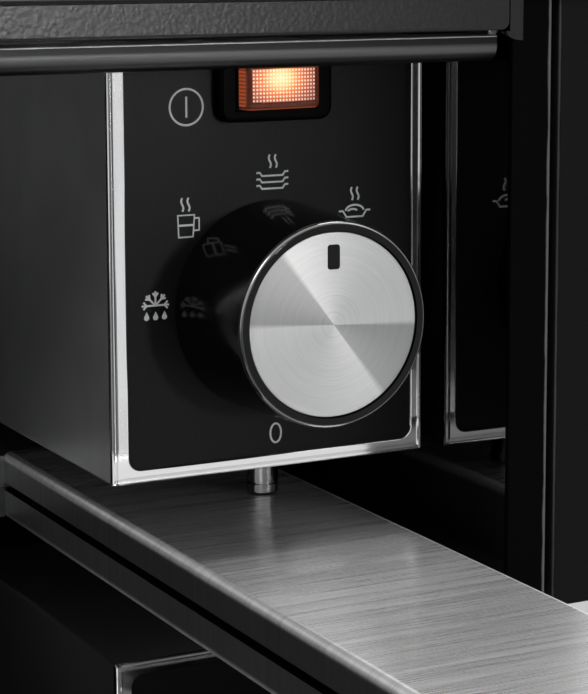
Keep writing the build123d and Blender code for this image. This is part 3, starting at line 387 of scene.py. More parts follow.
def relief(tree, shader, height, distance, strength=1.0, on=None):
    """Feed a height to the shader's normal; distance is the real depth in metres."""
    bump = place(tree, "ShaderNodeBump", {
        "Height": height, "Distance": distance, "Strength": strength})
    if on is not None:
        tree.links.new(on, bump.inputs["Normal"])
    tree.links.new(bump.outputs["Normal"], shader.inputs["Normal"])


def colour_steps(tree, factor, steps):
    """A colour that passes through given colours at given shares."""
    ramp = place(tree, "ShaderNodeValToRGB", {"Fac": factor})
    stops = ramp.color_ramp.elements
    stops[0].position, stops[0].color = steps[0][0], steps[0][1]
    stops[1].position, stops[1].color = steps[-1][0], steps[-1][1]
    for share, colour in steps[1:-1]:
        stops.new(share).color = colour
    return ramp.outputs["Color"]


def across_brushing(tree, shader, amount):
    """Stretch highlights along Y, across brushing that lies in planes of constant Y."""
    facing = place(tree, "ShaderNodeNewGeometry").outputs["Normal"]
    side = vectors(tree, "CROSS_PRODUCT", (0, 1, 0), facing)
    fill(tree, shader, {"Tangent": vectors(tree, "CROSS_PRODUCT", facing, side),
                        "Anisotropic": amount})


# %% Metals
materials_before = len(bpy.data.materials)


def brushed_metal(name, dark, light, lines, roughness, depth=4e-7, contrast=0.3, warmth=0.0):
    """Brushed or polished steel: lines gives the brushing's frequency per metre along X, Y, Z."""
    material, tree, shader, position = start_material(name)
    brush = use_effect(tree, "brushed_lines", Position=position, Lines=lines, Contrast=contrast)
    haze = use_effect(tree, "handling_smudges", Position=position, Size=0.03, Share=0.45)
    haze_share = 0.25
    uneven = arithmetic(tree, "MULTIPLY_ADD", haze["Mask"], haze_share, arithmetic(
        tree, "MULTIPLY", brush["Tone"], 1 - haze_share))
    fill(tree, shader, {
        "Base Color": between(tree, brush["Tone"], grey(dark, warmth), grey(light, warmth)),
        "Metallic": 1.0, "Roughness": value_range(tree, uneven, *roughness)})
    relief(tree, shader, brush["Height"], depth)
    return material


def deck_finish():
    """Brushed deck: fine lines, a painted highlight on the rolled edge, painted shade on the side
    face.
    """
    material, tree, shader, position = start_material("brushed_deck")
    brush = use_effect(tree, "brushed_lines", Position=position, Lines=(46.0, 4200.0, 46.0),
                       Contrast=0.5)
    streaks = use_effect(tree, "brushed_lines", Position=position, Lines=(30.0, 1700.0, 30.0),
                         Contrast=0.4)
    streak_share = 0.4
    tone = arithmetic(tree, "MULTIPLY_ADD", streaks["Tone"], streak_share, arithmetic(
        tree, "MULTIPLY", brush["Tone"], 1 - streak_share))
    facing = place(tree, "ShaderNodeNewGeometry").outputs["Normal"]
    upward = axes_of(tree, facing)["Z"]
    on_top = step_between(tree, upward, 0.975, 0.998)
    # painted highlight and shade: the tone follows which way the surface faces, brightest on the
    # rolled edge, darker on the upright side face
    bend = colour_steps(tree, upward, ((0.0, grey(0.42)), (0.10, grey(0.45)), (0.40, grey(0.92)),
                                       (0.97, grey(0.92)), (1.0, grey(0.68))))
    rough = value_range(tree, tone, 0.24, 0.31)
    rougher_off_top = value_range(tree, on_top, 0.12, 0.0)
    fill(tree, shader, {
        "Base Color": scaled(tree, bend, value_range(tree, tone, 0.58, 1.42)),
        "Metallic": 1.0, "Roughness": arithmetic(tree, "ADD", rough, rougher_off_top),
        "Coat Weight": value_range(tree, on_top, 0.0, 0.30), "Coat Roughness": 0.04})
    relief(tree, shader, brush["Height"], 1.2e-6)
    across_brushing(tree, shader, 0.90)
    return material


deck_steel = deck_finish()
mirror_steel = brushed_metal("mirror_steel", 0.17, 0.20, (9.0, 9.0, 900.0), (0.02, 0.06),
                             depth=4e-8, contrast=0.2)
front_steel = brushed_metal("front_steel", 0.42, 0.56, (7.0, 2600.0, 2600.0), (0.22, 0.34),
                            depth=8e-7, contrast=0.35)
bright_steel = brushed_metal("bright_steel", 0.50, 0.62, (40.0, 900.0, 900.0), (0.10, 0.20),
                             depth=1e-7)
stud_steel = brushed_metal("stud_steel", 0.26, 0.34, (40.0, 40.0, 900.0), (0.07, 0.12), depth=6e-8)
# painted shade: the liners and duct floor get a very dark steel tone for the cavity's shade
painted_shade_lining = brushed_metal("painted_shade_lining", 0.16, 0.22, (8.0, 1800.0, 1800.0), (0.30, 0.42))
tab_steel = brushed_metal("tab_steel", 0.024, 0.032, (900.0, 900.0, 12.0), (0.40, 0.50))
heater_steel = brushed_metal("heater_steel", 0.18, 0.30, (300.0, 60.0, 300.0), (0.35, 0.5),
                             warmth=0.16)
brass_metal = brushed_metal("contact_brass", 0.42, 0.52, (600.0, 600.0, 600.0), (0.25, 0.4),
                            warmth=0.42)


def box_finish():
    """The control box: satin sides, and a polished front frame whose sill leans back a little."""
    material, tree, shader, position = start_material("box_steel")
    polish = use_effect(tree, "brushed_lines", Position=position, Lines=(9.0, 9.0, 900.0),
                        Contrast=0.2)
    haze = use_effect(tree, "handling_smudges", Position=position, Size=0.04, Share=0.45)
    at = axes_of(tree, position)
    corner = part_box("control_box")[0]
    fold, fold_width = corner.y + 1.1 * MM, 0.5 * MM
    side = step_between(tree, at["Y"], fold, fold + fold_width)
    frame_tone = between(tree, polish["Tone"], grey(0.78), grey(0.84))
    side_tone = between(tree, haze["Mask"], grey(0.86), grey(0.96))
    fill(tree, shader, {
        "Base Color": between(tree, side, frame_tone, side_tone),
        "Metallic": value_range(tree, side, 1.0, 0.85),
        "Roughness": value_range(tree, side, 0.12, 0.30)})
    sill_top, sill_foot = corner.z + 9 * MM, corner.z - 2 * MM
    fall = step_between(tree, at["Z"], sill_top, sill_foot)
    lean = place(tree, "ShaderNodeBump", {"Distance": 2.0 * MM, "Height": arithmetic(
        tree, "MULTIPLY", fall, arithmetic(tree, "SUBTRACT", 1.0, side))})
    relief(tree, shader, polish["Height"], 5e-8, on=lean.outputs["Normal"])
    return material


def rail_finish():
    """Satin rail: painted highlights at its top edge and turn, painted shade on its flat face and
    underside.
    """
    material, tree, shader, position = start_material("rail_steel")
    brush = use_effect(tree, "brushed_lines", Position=position, Lines=(7.0, 2400.0, 2400.0),
                       Contrast=0.2)
    rail_top, rail_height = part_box("right_liner")[1].z - 0.5 * MM, 6.2 * MM
    below = arithmetic(tree, "DIVIDE", arithmetic(
        tree, "SUBTRACT", rail_top, axes_of(tree, position)["Z"]), rail_height)
    # painted highlight and shade: the tone follows the height down the rail, bright at the top edge
    # and where it turns under
    painted_highlight_bands = colour_steps(tree, below, (
        (0.0, grey(0.60)), (0.055, grey(0.60)), (0.085, grey(0.014)), (0.30, grey(0.018)),
        (0.47, grey(0.095)), (0.60, grey(0.095)), (0.72, grey(0.025)), (1.0, grey(0.03))))
    fill(tree, shader, {"Base Color": painted_highlight_bands, "Metallic": 1.0,
                        "Roughness": value_range(tree, brush["Tone"], 0.36, 0.46)})
    relief(tree, shader, brush["Height"], 3e-7)
    return material


def zinc_sheet():
    """Galvanised sheet, with the crystal spangle of its zinc coat."""
    material, tree, shader, position = start_material("zinc_sheet")
    spangle = place(tree, "ShaderNodeTexVoronoi", {"Vector": position, "Scale": 160.0},
                    feature="F1")
    tone = place(tree, "ShaderNodeSeparateColor", {
        "Color": spangle.outputs["Color"]}).outputs["Red"]
    grit = use_effect(tree, "paint_speckle", Position=position, Grain=0.0006)
    fill(tree, shader, {
        "Base Color": between(tree, tone, grey(0.36, -0.02), grey(0.46, -0.02)),
        "Metallic": 0.9, "Roughness": value_range(tree, tone, 0.38, 0.55)})
    relief(tree, shader, grit["Height"], 3e-6)
    return material


box_steel, rail_steel, zinc = box_finish(), rail_finish(), zinc_sheet()
print("metals made:", len(bpy.data.materials) - materials_before)


# %% Paints and plastics
COOL = -0.01


def textured_paint(name, dark, light, grain, roughness, depth, gloss=0.5):
    """Powder paint or moulded plastic: fine grain in tone, roughness and height."""
    material, tree, shader, position = start_material(name)
    speck = use_effect(tree, "paint_speckle", Position=position, Grain=grain)
    fill(tree, shader, {
        "Base Color": between(tree, speck["Tone"], grey(dark, COOL), grey(light, COOL)),
        "Roughness": value_range(tree, speck["Tone"], *roughness), "Specular IOR Level": gloss})
    relief(tree, shader, speck["Height"], depth)
    return material


panel_paint = textured_paint("panel_charcoal", 0.0036, 0.0088, 0.00055, (0.38, 0.48), 3e-6,
                             gloss=0.12)
bezel_black = textured_paint("bezel_black", 0.0010, 0.0016, 0.0012, (0.30, 0.38), 2e-6,
                             gloss=0.02)
black_matt = textured_paint("black_matt", 0.016, 0.024, 0.0006, (0.5, 0.62), 6e-6)
foot_rubber = textured_paint("foot_rubber", 0.012, 0.020, 0.0008, (0.7, 0.85), 1.2e-5, gloss=0.3)
seal_rubber = textured_paint("seal_rubber", 0.020, 0.028, 0.0010, (0.55, 0.7), 6e-6)
symbol_print = textured_paint("symbol_print", 0.62, 0.74, 0.0004, (0.5, 0.6), 1e-6, gloss=0.3)


def highlighted_edge_paint(name, dark, light, edge, width, roughness, gloss, highlight_tone):
    """Satin paint with a painted highlight: an upright metal line at a place in X on both sides."""
    material, tree, shader, position = start_material(name)
    speck = use_effect(tree, "paint_speckle", Position=position, Grain=0.0007)
    # painted highlight: the edge line is metal in place of the paint
    edge_highlight = use_effect(tree, "painted_edge_highlight", Position=position, Place=edge, Width=width)["Mask"]
    painted = between(tree, speck["Tone"], grey(dark, COOL), grey(light, COOL))
    fill(tree, shader, {
        "Base Color": between(tree, edge_highlight, painted, grey(highlight_tone)), "Metallic": edge_highlight,
        "Roughness": value_range(tree, speck["Tone"], *roughness), "Specular IOR Level": gloss})
    relief(tree, shader, speck["Height"], 4e-6)
    return material


post_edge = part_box("right_front_post")[1].x
return_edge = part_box("right_side_panel")[1].x - 11.5 * MM
# painted highlights on the post's outer edge and on the side panel's front return
post_paint = highlighted_edge_paint("post_black", 0.0010, 0.0016, post_edge, 1.3 * MM, (0.36, 0.48),
                             gloss=0.02, highlight_tone=0.13)
case_paint = highlighted_edge_paint("case_paint", 0.0035, 0.0055, return_edge, 0.5 * MM, (0.42, 0.54),
                             gloss=0.08, highlight_tone=0.08)


def grained_paint():
    """The fascia's pressed leather-like grain under satin paint, with painted shade in the creases.
    """
    material, tree, shader, position = start_material("grained_trim")
    grain = use_effect(tree, "pressed_grain", Position=position, Cell=0.0011)
    speck = use_effect(tree, "paint_speckle", Position=position, Grain=0.0004)
    fill(tree, shader, {
        # painted shade: the creases are darker than the raised cells
        "Base Color": between(tree, grain["PaintedCreaseShade"], grey(0.007), grey(0.004)),
        "Roughness": value_range(tree, speck["Tone"], 0.30, 0.37), "Specular IOR Level": 0.30})
    relief(tree, shader, grain["Height"], 6e-5, 0.8)
    return material


fascia_paint = grained_paint()


def knob_black():
    """Glossy black plastic with a painted highlight: a thin metallic line round the knob's front
    edge.
    """
    material, tree, shader, position = start_material("black_gloss")
    speck = use_effect(tree, "paint_speckle", Position=position, Grain=0.004)
    marks = use_effect(tree, "handling_smudges", Position=position, Size=0.02, Share=0.4)
    low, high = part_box("knob_body")
    offset = vectors(tree, "SUBTRACT", position, (low + high) / 2)
    radius = length_of(tree, scaled(tree, offset, (1, 0, 1)))
    taper = 1.6 * MM
    front_radius = (high.x - low.x) / 2 - taper
    # painted highlight: a thin grey metal ring at the front rim stands in for the edge's glint
    at_rim = step_between(tree, radius, front_radius - 0.75 * MM, front_radius - 0.45 * MM,
                          "LINEAR")
    at_front = step_between(tree, axes_of(tree, position)["Y"], low.y + 1.0 * MM,
                            low.y + 0.7 * MM, "LINEAR")
    line = arithmetic(tree, "MULTIPLY", at_rim, at_front)
    plastic = between(tree, speck["Tone"], grey(0.0025), grey(0.0035))
    fill(tree, shader, {
        "Base Color": between(tree, line, plastic, grey(0.30)), "Metallic": line,
        "Roughness": value_range(tree, marks["Mask"], 0.12, 0.18), "Specular IOR Level": 0.20})
    relief(tree, shader, speck["Height"], 4e-7)
    return material


def mineral_wool():
    """Yellow-grey fibres, denser in some places than in others."""
    material, tree, shader, position = start_material("mineral_wool")
    fibres = use_effect(tree, "brushed_lines", Position=position, Lines=(260.0, 90.0, 700.0),
                        Contrast=0.5)
    shade, fibre = (0.30, 0.26, 0.14, 1), (0.60, 0.55, 0.38, 1)
    fill(tree, shader, {"Base Color": between(tree, fibres["Tone"], shade, fibre),
                        "Roughness": 0.95})
    relief(tree, shader, fibres["Height"], 8e-4)
    return material


def braided_sleeve():
    """White glass-fibre braid with crossed threads."""
    material, tree, shader, position = start_material("braided_sleeve")
    one, other = (place(tree, "ShaderNodeTexWave", {
        "Vector": scaled(tree, position, slant), "Scale": 160.0}, bands_direction="DIAGONAL")
        for slant in ((1, 1, 1), (-1, 1, -1)))
    threads = arithmetic(tree, "MAXIMUM", one.outputs["Fac"], other.outputs["Fac"])
    shade, thread = (0.42, 0.41, 0.37, 1), (0.72, 0.71, 0.66, 1)
    fill(tree, shader, {"Base Color": between(tree, threads, shade, thread), "Roughness": 0.8})
    relief(tree, shader, threads, 3e-4)
    return material


def black_glass():
    """Toughened glass with a black back: a clean mirror at low angles, with faint wiping marks."""
    material, tree, shader, position = start_material("black_glass")
    marks = use_effect(tree, "handling_smudges", Position=position, Size=0.08, Share=0.35)
    speck = use_effect(tree, "paint_speckle", Position=position, Grain=0.01)
    fill(tree, shader, {
        "Base Color": between(tree, speck["Tone"], grey(0.0012), grey(0.0018)),
        "Roughness": value_range(tree, marks["Mask"], 0.015, 0.06), "IOR": 1.52})
    return material


black_gloss, wool = knob_black(), mineral_wool()
sleeve_braid, glass = braided_sleeve(), black_glass()


# %% [markdown]
# ## The turned disc
# The knob's aluminium disc was faced on a lathe, so its fine grooves are circles. Its bright
# and dark wedges are painted highlights and painted shade: tones by the angle round the
# knob's axis, measured in the room, so they stay in place while the knob turns. A mild
# anisotropy, whose tangent points outwards, spreads the shader's own highlights across the grooves.

# %% Turned disc material
def turned_disc():
    """Aluminium with concentric grooves, and painted bright and dark wedges of highlight and shade.
    """
    material, tree, shader, position = start_material("turned_disc")
    where = place(tree, "ShaderNodeNewGeometry").outputs["Position"]
    flat = scaled(tree, vectors(tree, "SUBTRACT", where, knob_middle), (1, 0, 1))
    rings = use_effect(tree, "turned_rings", Radius=length_of(tree, flat), Position=position,
                       Rings=5200.0, Contrast=0.35)
    sides = axes_of(tree, flat)
    turn = arithmetic(tree, "ARCTAN2", sides["Z"], sides["X"])
    half_turns = arithmetic(tree, "FRACT", arithmetic(
        tree, "ADD", arithmetic(tree, "DIVIDE", turn, math.pi), 2.0))
    # painted highlight and shade: base tone by the angle round the knob, in degrees
    painted_wedge_tones = ((0, 0.46), (60, 0.46), (125, 0.51), (129.5, 0.29), (175, 0.25), (178.5, 0.46),
                 (180, 0.46))
    painted_wedges = colour_steps(tree, half_turns, [(angle / 180, grey(tone)) for angle, tone in painted_wedge_tones])
    grooves = value_range(tree, rings["Tone"], 0.80, 1.15)
    fill(tree, shader, {
        "Base Color": scaled(tree, painted_wedges, grooves), "Metallic": 1.0,
        "Roughness": value_range(tree, rings["Tone"], 0.36, 0.46),
        "Anisotropic": 0.35, "Tangent": vectors(tree, "NORMALIZE", flat)})
    relief(tree, shader, rings["Height"], 5e-7)
    return material


disc_metal = turned_disc()

# %% [markdown]
# ## The rocker's lens
# The lens is an amber cap with a bevelled frame and a crowned window. Small prisms fill the
# window, one every millimetre or less, and break the lamp's light into dots. The lamp sits a
# little left of the middle, so the glow fades from yellow-white to salmon. The prisms lie
# inside the plastic on the real lens. Here they stand in the window itself, because a clear
# front over them would only blur their dots.

# %% Lens sizes
pivot = Vector((227.95, -24.25, 134.9)) * MM
rocker_tilt = math.radians(5.0)
to_rocker = Matrix.Translation(pivot) @ Matrix.Rotation(rocker_tilt, 4, "Z")
lens_half_x, lens_half_z, lens_corner = 10.3, 5.3, 1.4
lens_front, lens_back, lens_crown = -8.0, -3.8, 0.7
prism_pitch, prism_columns, prism_rows, prism_lift = 0.875, 20, 9, 0.42
window_half_x = prism_columns * prism_pitch / 2
window_half_z = prism_rows * prism_pitch / 2
window_low, window_high = prism_lift - window_half_z, prism_lift + window_half_z


def crowned(x):
    """How far the front has fallen back at a distance from the middle."""
    return lens_crown * (x / lens_half_x) ** 2


# %% Lens materials
def local_position(tree, position):
    """A position on the lens in millimetres, measured in the lens's own upright axes."""
    offset = vectors(tree, "SUBTRACT", position, pivot)
    upright = place(tree, "ShaderNodeVectorRotate", {
        "Vector": offset, "Axis": (0, 0, 1), "Angle": -rocker_tilt}, rotation_type="AXIS_ANGLE")
    return scaled(tree, upright.outputs[0], (1 / MM,) * 3)


def glow_distance(tree, local):
    """Distance in millimetres from the lamp's bright spot, stretched along the lamp."""
    lamp_spot, squeeze = (-1.1, 0.0, 2.1), (0.72, 0.0, 1.0)
    return length_of(tree, scaled(tree, vectors(tree, "SUBTRACT", local, lamp_spot), squeeze))


def amber_frame():
    """The cap's bevelled frame: dark amber, glossy, with the prism rows showing in its walls."""
    material, tree, shader, position = start_material("amber_frame")
    at = axes_of(tree, local_position(tree, position))
    speck = use_effect(tree, "paint_speckle", Position=position, Grain=0.0016)
    ribs = arithmetic(tree, "SINE", arithmetic(
        tree, "MULTIPLY", at["Z"], 2 * math.pi / prism_pitch))
    in_wall = step_between(tree, arithmetic(tree, "ABSOLUTE", at["X"]), lens_half_x - 0.25,
                           lens_half_x - 0.05, "LINEAR")
    under = step_between(tree, at["Z"], -lens_half_z + 0.5, -lens_half_z, "LINEAR")
    leak = arithmetic(tree, "MAXIMUM",
                      arithmetic(tree, "MULTIPLY", in_wall, value_range(tree, ribs, 0.25, 0.9)),
                      arithmetic(tree, "MULTIPLY", under, 0.45))
    glow = colour_steps(tree, leak, (
        (0.0, (0.030, 0.007, 0.003, 1)), (0.45, (0.26, 0.055, 0.022, 1)),
        (1.0, (0.46, 0.075, 0.018, 1))))
    dark, light = (0.08, 0.016, 0.008, 1), (0.12, 0.024, 0.012, 1)
    fill(tree, shader, {
        "Emission Color": glow, "Emission Strength": 1.0, "Specular IOR Level": 0.3,
        "Base Color": between(tree, speck["Tone"], dark, light),
        "Roughness": value_range(tree, speck["Tone"], 0.06, 0.12)})
    return material


def glowing_prisms():
    """The lit window: bright dots with deeper-coloured gaps, brightest in front of the lamp."""
    material, tree, shader, position = start_material("glowing_prisms")
    local = local_position(tree, position)
    glow_reach = 8.6
    fall = arithmetic(tree, "DIVIDE", glow_distance(tree, local), glow_reach)
    at = axes_of(tree, local)
    column = arithmetic(tree, "DIVIDE", at["X"], prism_pitch)
    row = arithmetic(tree, "DIVIDE", arithmetic(tree, "SUBTRACT", at["Z"], window_low), prism_pitch)
    whole_prisms = 40.0  # added so that the counts stay positive
    squares = []
    for count in (column, row):
        offset = arithmetic(tree, "SUBTRACT", arithmetic(
            tree, "FRACT", arithmetic(tree, "ADD", count, whole_prisms)), 0.5)
        squares.append(arithmetic(tree, "MULTIPLY", offset, offset))
    from_tip = arithmetic(tree, "SQRT", arithmetic(tree, "ADD", *squares))
    dot = step_between(tree, from_tip, 0.42, 0.14)
    dots = colour_steps(tree, fall, ((0.0, (1.0, 0.96, 0.66, 1)), (0.30, (1.0, 0.92, 0.60, 1)),
                                     (0.55, (1.0, 0.80, 0.62, 1)), (0.80, (0.74, 0.54, 0.46, 1)),
                                     (1.0, (0.55, 0.42, 0.38, 1))))
    gaps = colour_steps(tree, fall, (
        (0.0, (1.0, 0.92, 0.54, 1)), (0.20, (1.0, 0.72, 0.32, 1)), (0.42, (0.84, 0.22, 0.07, 1)),
        (0.68, (0.40, 0.09, 0.04, 1)), (0.85, (0.20, 0.045, 0.025, 1)),
        (1.0, (0.11, 0.028, 0.018, 1))))
    fill(tree, shader, {
        "Emission Color": between(tree, dot, gaps, dots), "Emission Strength": 0.96,
        "Base Color": between(tree, dot, (0.30, 0.08, 0.04, 1), (0.5, 0.3, 0.24, 1)),
        "Roughness": 0.15})
    return material


amber, prisms = amber_frame(), glowing_prisms()


# %% Lens geometry
def finish_mesh(name, bm, material, smooth=True):
    """Turn a bmesh into an object with one material."""
    mesh = bpy.data.meshes.new(name)
    bm.normal_update()
    bm.to_mesh(mesh)
    bm.free()
    mesh.materials.append(material)
    for face in mesh.polygons:
        face.use_smooth = smooth
    piece = bpy.data.objects.new(name, mesh)
    scene.collection.objects.link(piece)
    return piece


def rounded_outline(low, high, corner):
    """Points of a rounded rectangle between two (x, z) corners, counter-clockwise."""
    steps = 6
    middle = [(a + b) / 2 for a, b in zip(low, high)]
    half = [(b - a) / 2 for a, b in zip(low, high)]
    points = []
    for quarter, (sx, sz) in enumerate(((1, 1), (-1, 1), (-1, -1), (1, -1))):
        for step in range(steps + 1):
            turn = math.radians(90 * quarter + 90 * step / steps)
            points.append((middle[0] + sx * (half[0] - corner) + corner * math.cos(turn),
                           middle[1] + sz * (half[1] - corner) + corner * math.sin(turn)))
    return points


def lens_frame():
    """The amber cap: side walls, a soft bevel, and a front rim round the prism window."""
    bevel, bevel_steps, bevel_share = 1.0, 5, 0.8
    window_corner, window_wall = 0.3, 0.9
    outer = ((-lens_half_x, -lens_half_z), (lens_half_x, lens_half_z))
    window = ((-window_half_x, window_low), (window_half_x, window_high))
    levels = [(lens_back, outer, lens_corner), (lens_front + bevel, outer, lens_corner)]
    for step in range(1, bevel_steps + 1):
        turn = math.radians(90 * step / bevel_steps)
        share = (1 - math.cos(turn)) * bevel_share
        inset = [[a + (b - a) * share for a, b in zip(*pair)] for pair in zip(outer, window)]
        levels.append((lens_front + bevel * (1 - math.sin(turn)), inset,
                       lens_corner * (1 - share) + window_corner * share))
    levels += [(y, window, window_corner)
               for y in (lens_front, lens_front + window_wall, lens_back)]
    bm = bmesh.new()
    rings = []
    for y, (low, high), corner in levels:
        fallen = 1.0 if y < lens_back else 0.0
        rings.append([bm.verts.new((x * MM, (y + fallen * crowned(x)) * MM, z * MM))
                      for x, z in rounded_outline(low, high, corner)])
    rings.append(rings[0])
    count = len(rings[0])
    for low, high in zip(rings, rings[1:]):
        for index in range(count):
            after = (index + 1) % count
            bm.faces.new((low[index], low[after], high[after], high[index]))
    bmesh.ops.recalc_face_normals(bm, faces=bm.faces)
    bm.transform(to_rocker)
    return finish_mesh("rocker_lens_frame", bm, amber)


def prism_plate():
    """Small pyramids in rows on a thin crowned plate that fills the window."""
    peak, base, back = 0.28, lens_front + 0.32, lens_back + 0.2
    half = prism_pitch / 2
    foot = ((-half, -half), (half, -half), (half, half), (-half, half))
    bm = bmesh.new()
    for column in range(prism_columns):
        for row in range(prism_rows):
            x = (column - (prism_columns - 1) / 2) * prism_pitch
            z = window_low + (row + 0.5) * prism_pitch
            corners = [bm.verts.new(((x + dx) * MM, (base + crowned(x + dx)) * MM, (z + dz) * MM))
                       for dx, dz in foot]
            tip = bm.verts.new((x * MM, (base + crowned(x) - peak) * MM, z * MM))
            for index in range(4):
                bm.faces.new((corners[index], corners[(index + 1) % 4], tip))
    bmesh.ops.remove_doubles(bm, verts=bm.verts, dist=0.01 * MM)
    bmesh.ops.recalc_face_normals(bm, faces=bm.faces)
    rim = [edge for edge in bm.edges if edge.is_boundary]
    walls = bmesh.ops.extrude_edge_only(bm, edges=rim)
    for vertex in [item for item in walls["geom"] if isinstance(item, bmesh.types.BMVert)]:
        vertex.co.y = back * MM
    open_edges = [item for item in walls["geom"]
                  if isinstance(item, bmesh.types.BMEdge) and item.is_boundary]
    bmesh.ops.contextual_create(bm, geom=open_edges)
    bmesh.ops.recalc_face_normals(bm, faces=bm.faces)
    bm.transform(to_rocker)
    print("prisms:", prism_columns * prism_rows)
    return finish_mesh("rocker_prism_plate", bm, prisms, smooth=False)


frame_piece = lens_frame()
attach(frame_piece, "rocker")
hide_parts("rocker_lens")
plate = prism_plate()
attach(plate, "rocker")

# %% [markdown]
# ## The printed symbols
# The panel carries plain pictograms: on, cup, plates, dish, defrost and a nought. They are
# thin printed strokes. Each stroke is a curve with a round section, pressed almost flat, so it
# keeps round ends and stands only a few hundredths of a millimetre proud of the panel.

# %% Stroke helper
panel_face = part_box("control_panel")[0].y
box_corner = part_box("control_box")[0]
stroke_width = 0.52


def stroke_curve(data, points, closed):
    """Add one stroke through points given in millimetres from the box's lower left corner."""
    spline = data.splines.new("POLY")
    spline.points.add(len(points) - 1)
    for point, (x, z) in zip(spline.points, points):
        point.co = (box_corner.x + x * MM, panel_face, box_corner.z + z * MM, 1.0)
    spline.use_cyclic_u = closed


def symbol(name, strokes):
    """One symbol from its strokes, each a list of points and whether it is closed."""
    data = bpy.data.curves.new(name, "CURVE")
    data.dimensions = "3D"
    data.bevel_depth = stroke_width / 2 * MM
    data.bevel_resolution = 3
    data.use_fill_caps = True
    for points, closed in strokes:
        stroke_curve(data, points, closed)
    holder = bpy.data.objects.new(name + "_line", data)
    scene.collection.objects.link(holder)
    bpy.context.view_layer.update()
    mesh = bpy.data.meshes.new_from_object(holder)
    bpy.data.objects.remove(holder)
    flatness = 0.12
    for vertex in mesh.vertices:
        vertex.co.y = panel_face + (vertex.co.y - panel_face) * flatness
    mesh.materials.clear()
    mesh.materials.append(symbol_print)
    piece = bpy.data.objects.new(name, mesh)
    scene.collection.objects.link(piece)
    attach(piece, "housing")
    return piece


def arc(middle, radius, start, stop, steps=24):
    """Points of an arc between two angles in degrees, 0 to the right and 90 up."""
    rx, rz = radius if isinstance(radius, tuple) else (radius, radius)
    turns = [math.radians(start + (stop - start) * step / steps) for step in range(steps + 1)]
    return [(middle[0] + rx * math.cos(turn), middle[1] + rz * math.sin(turn)) for turn in turns]


def steam(x, z):
    """Two wavy wisps above a dish; (x, z) is the foot of the left one."""
    height, sway, gap, steps = 3.2, 0.28, 1.6, 12
    return [([(x + shift + sway * math.sin(2 * math.pi * step / steps), z + height * step / steps)
              for step in range(steps + 1)], False) for shift in (0.0, gap)]


# %% Draw the symbols
def power_symbol():
    ring = arc((20.4, 88.55), 4.25, 0, 360, 40)[:-1]
    return symbol("symbol_on", [(ring, True), ([(20.4, 86.1), (20.4, 91.0)], False)])


def plates_symbol():
    plate_outline = ((38.5, 0.75), (39.4, 0.8), (40.0, 0.0), (45.5, 0.0), (46.1, 0.85), (47.0, 0.9))
    stack = [([(x, foot + rise) for x, rise in plate_outline], False)
             for foot in (68.25, 69.8, 71.35)]
    return symbol("symbol_plates", stack + steam(42.1, 73.2))


def cup_symbol():
    body = [(17.9, 63.1), (22.2, 63.1), (21.8, 57.9), (18.1, 57.9)]
    handle = [(22.2, 62.3), (23.4, 62.3), (23.4, 59.4), (21.95, 59.4)]
    band = [(18.0, 60.7), (21.95, 60.7)]
    return symbol("symbol_cup", [(body, True), (handle, False), (band, False)] + steam(19.1, 64.0))


def dish_symbol():
    bowl = [(60.8, 61.6), (61.9, 61.6), (62.9, 60.1), (67.4, 60.1), (68.4, 61.6), (69.5, 61.6)]
    food = arc((65.15, 61.5), (2.5, 1.5), 175, 5)
    lump = arc((64.6, 61.4), (1.3, 0.6), 170, 20, 12)
    return symbol("symbol_dish", [(bowl, False), (food, False), (lump, False)] + steam(64.4, 64.2))


def defrost_symbol():
    root, half_arm = (11.95, 42.2), 3.4
    fork_place, spur_length, spur_turn = 2.1, 1.15, 38
    strokes = [([(8.4, 42.2), (15.4, 42.2)], False)]

    def onward(start, angle, distance):
        """The point a distance away from another, at an angle in degrees."""
        turn = math.radians(angle)
        return (start[0] + distance * math.cos(turn), start[1] + distance * math.sin(turn))

    for angle in (45, 90, 135):
        strokes.append(([root, onward(root, angle, half_arm)], False))
        fork = onward(root, angle, fork_place)
        for side in (-spur_turn, spur_turn):
            strokes.append(([fork, onward(fork, angle + side, spur_length)], False))
    for side in (-1, 1):
        x = root[0] + side * 2.2
        strokes.append(([(x + side * 0.9, 43.1), (x, 42.2), (x + side * 0.9, 41.4)], False))
    for x in (9.65, 11.95, 14.2):
        drop = [(x, 40.55)] + arc((x, 39.35), 0.42, 150, 390, 14)
        strokes.append((drop, True))
        strokes.append(([(x, 39.9), (x, 39.2)], False))
    return symbol("symbol_defrost", strokes)


def nought_symbol():
    return symbol("symbol_nought", [(arc((43.3, 8.3), (1.45, 2.35), 0, 360, 36)[:-1], True)])


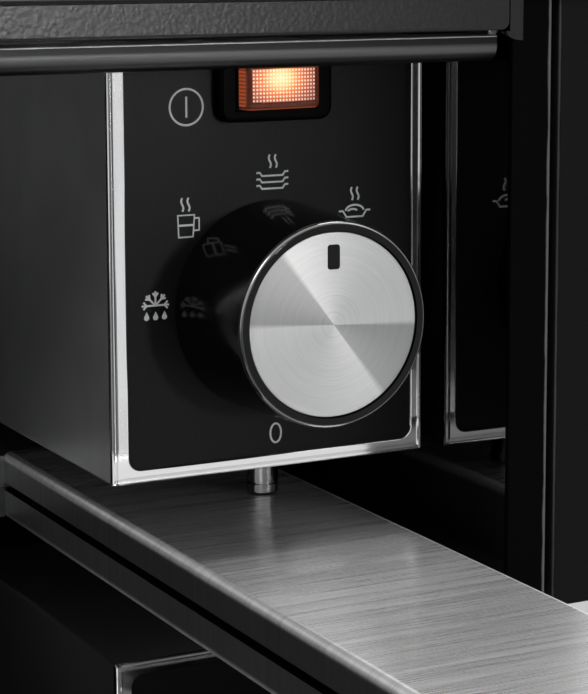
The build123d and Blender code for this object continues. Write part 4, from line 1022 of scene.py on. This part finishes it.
symbols = [draw() for draw in (power_symbol, plates_symbol, cup_symbol, dish_symbol,
                               defrost_symbol, nought_symbol)]
print("symbols:", [piece.name for piece in symbols])

# %% [markdown]
# ## Dress the CAD nodes
# Every node that CAD made keeps its shape and gets the finish of the real piece.

# %% Assign materials
rails = [side + part + "_rail" for part in ("cabinet", "middle", "drawer")
         for side in ("right_", "left_")]
finish_of = {
    deck_steel: ["right_deck", "left_deck"],
    mirror_steel: ["right_liner", "left_liner", "duct_side_panel"],
    box_steel: ["control_box"],
    post_paint: ["right_front_post", "left_front_post"],
    tab_steel: ["fascia_end_tabs"],
    stud_steel: ["glide_stud"],
    rail_steel: ["front_cross_rail"],
    front_steel: ["drawer_front_skin", "drawer_front_inner"],
    painted_shade_lining: ["rear_liner", "ceiling_liner", "duct_floor"],
    bright_steel: ["handle_bar", "handle_posts", "selector_shaft", "temperature_probe",
                   "housing_screws", "drawer_screws"],
    heater_steel: ["heater_element"],
    brass_metal: ["brass_contacts"],
    zinc: ["base_pan", "back_panel", "control_box_cover", "fan_baffle", "heater_bracket",
           "drawer_pan", "slide_brackets"] + rails,
    case_paint: ["top_cover", "right_side_panel", "left_side_panel"],
    fascia_paint: ["top_fascia"],
    panel_paint: ["control_panel"],
    black_gloss: ["knob_body", "knob_pointer"],
    bezel_black: ["rocker_housing"],
    black_matt: ["selector_body", "rocker_cradle", "fan_frame", "fan_impeller", "thermal_cutout",
                 "control_box_spacer", "mains_inlet"],
    foot_rubber: ["feet"],
    seal_rubber: ["drawer_gasket"],
    wool: ["insulation_blankets"],
    sleeve_braid: ["wiring_sleeve"],
    glass: ["glass_base"],
    disc_metal: ["knob_disc"],
    prisms: ["rocker_lamp"],
}
for material, names in finish_of.items():
    for name in names:
        slots = nodes[name].data.materials
        slots.clear()
        slots.append(material)
dressed = [name for names in finish_of.values() for name in names]
print("dressed nodes:", len(dressed), "left:", sorted(set(nodes) - set(dressed)))

# %% Floor material
floor_paint = textured_paint("floor_paint", 0.74, 0.78, 0.02, (0.8, 0.9), 1e-6, gloss=0.2)
floor_mesh.materials.append(floor_paint)
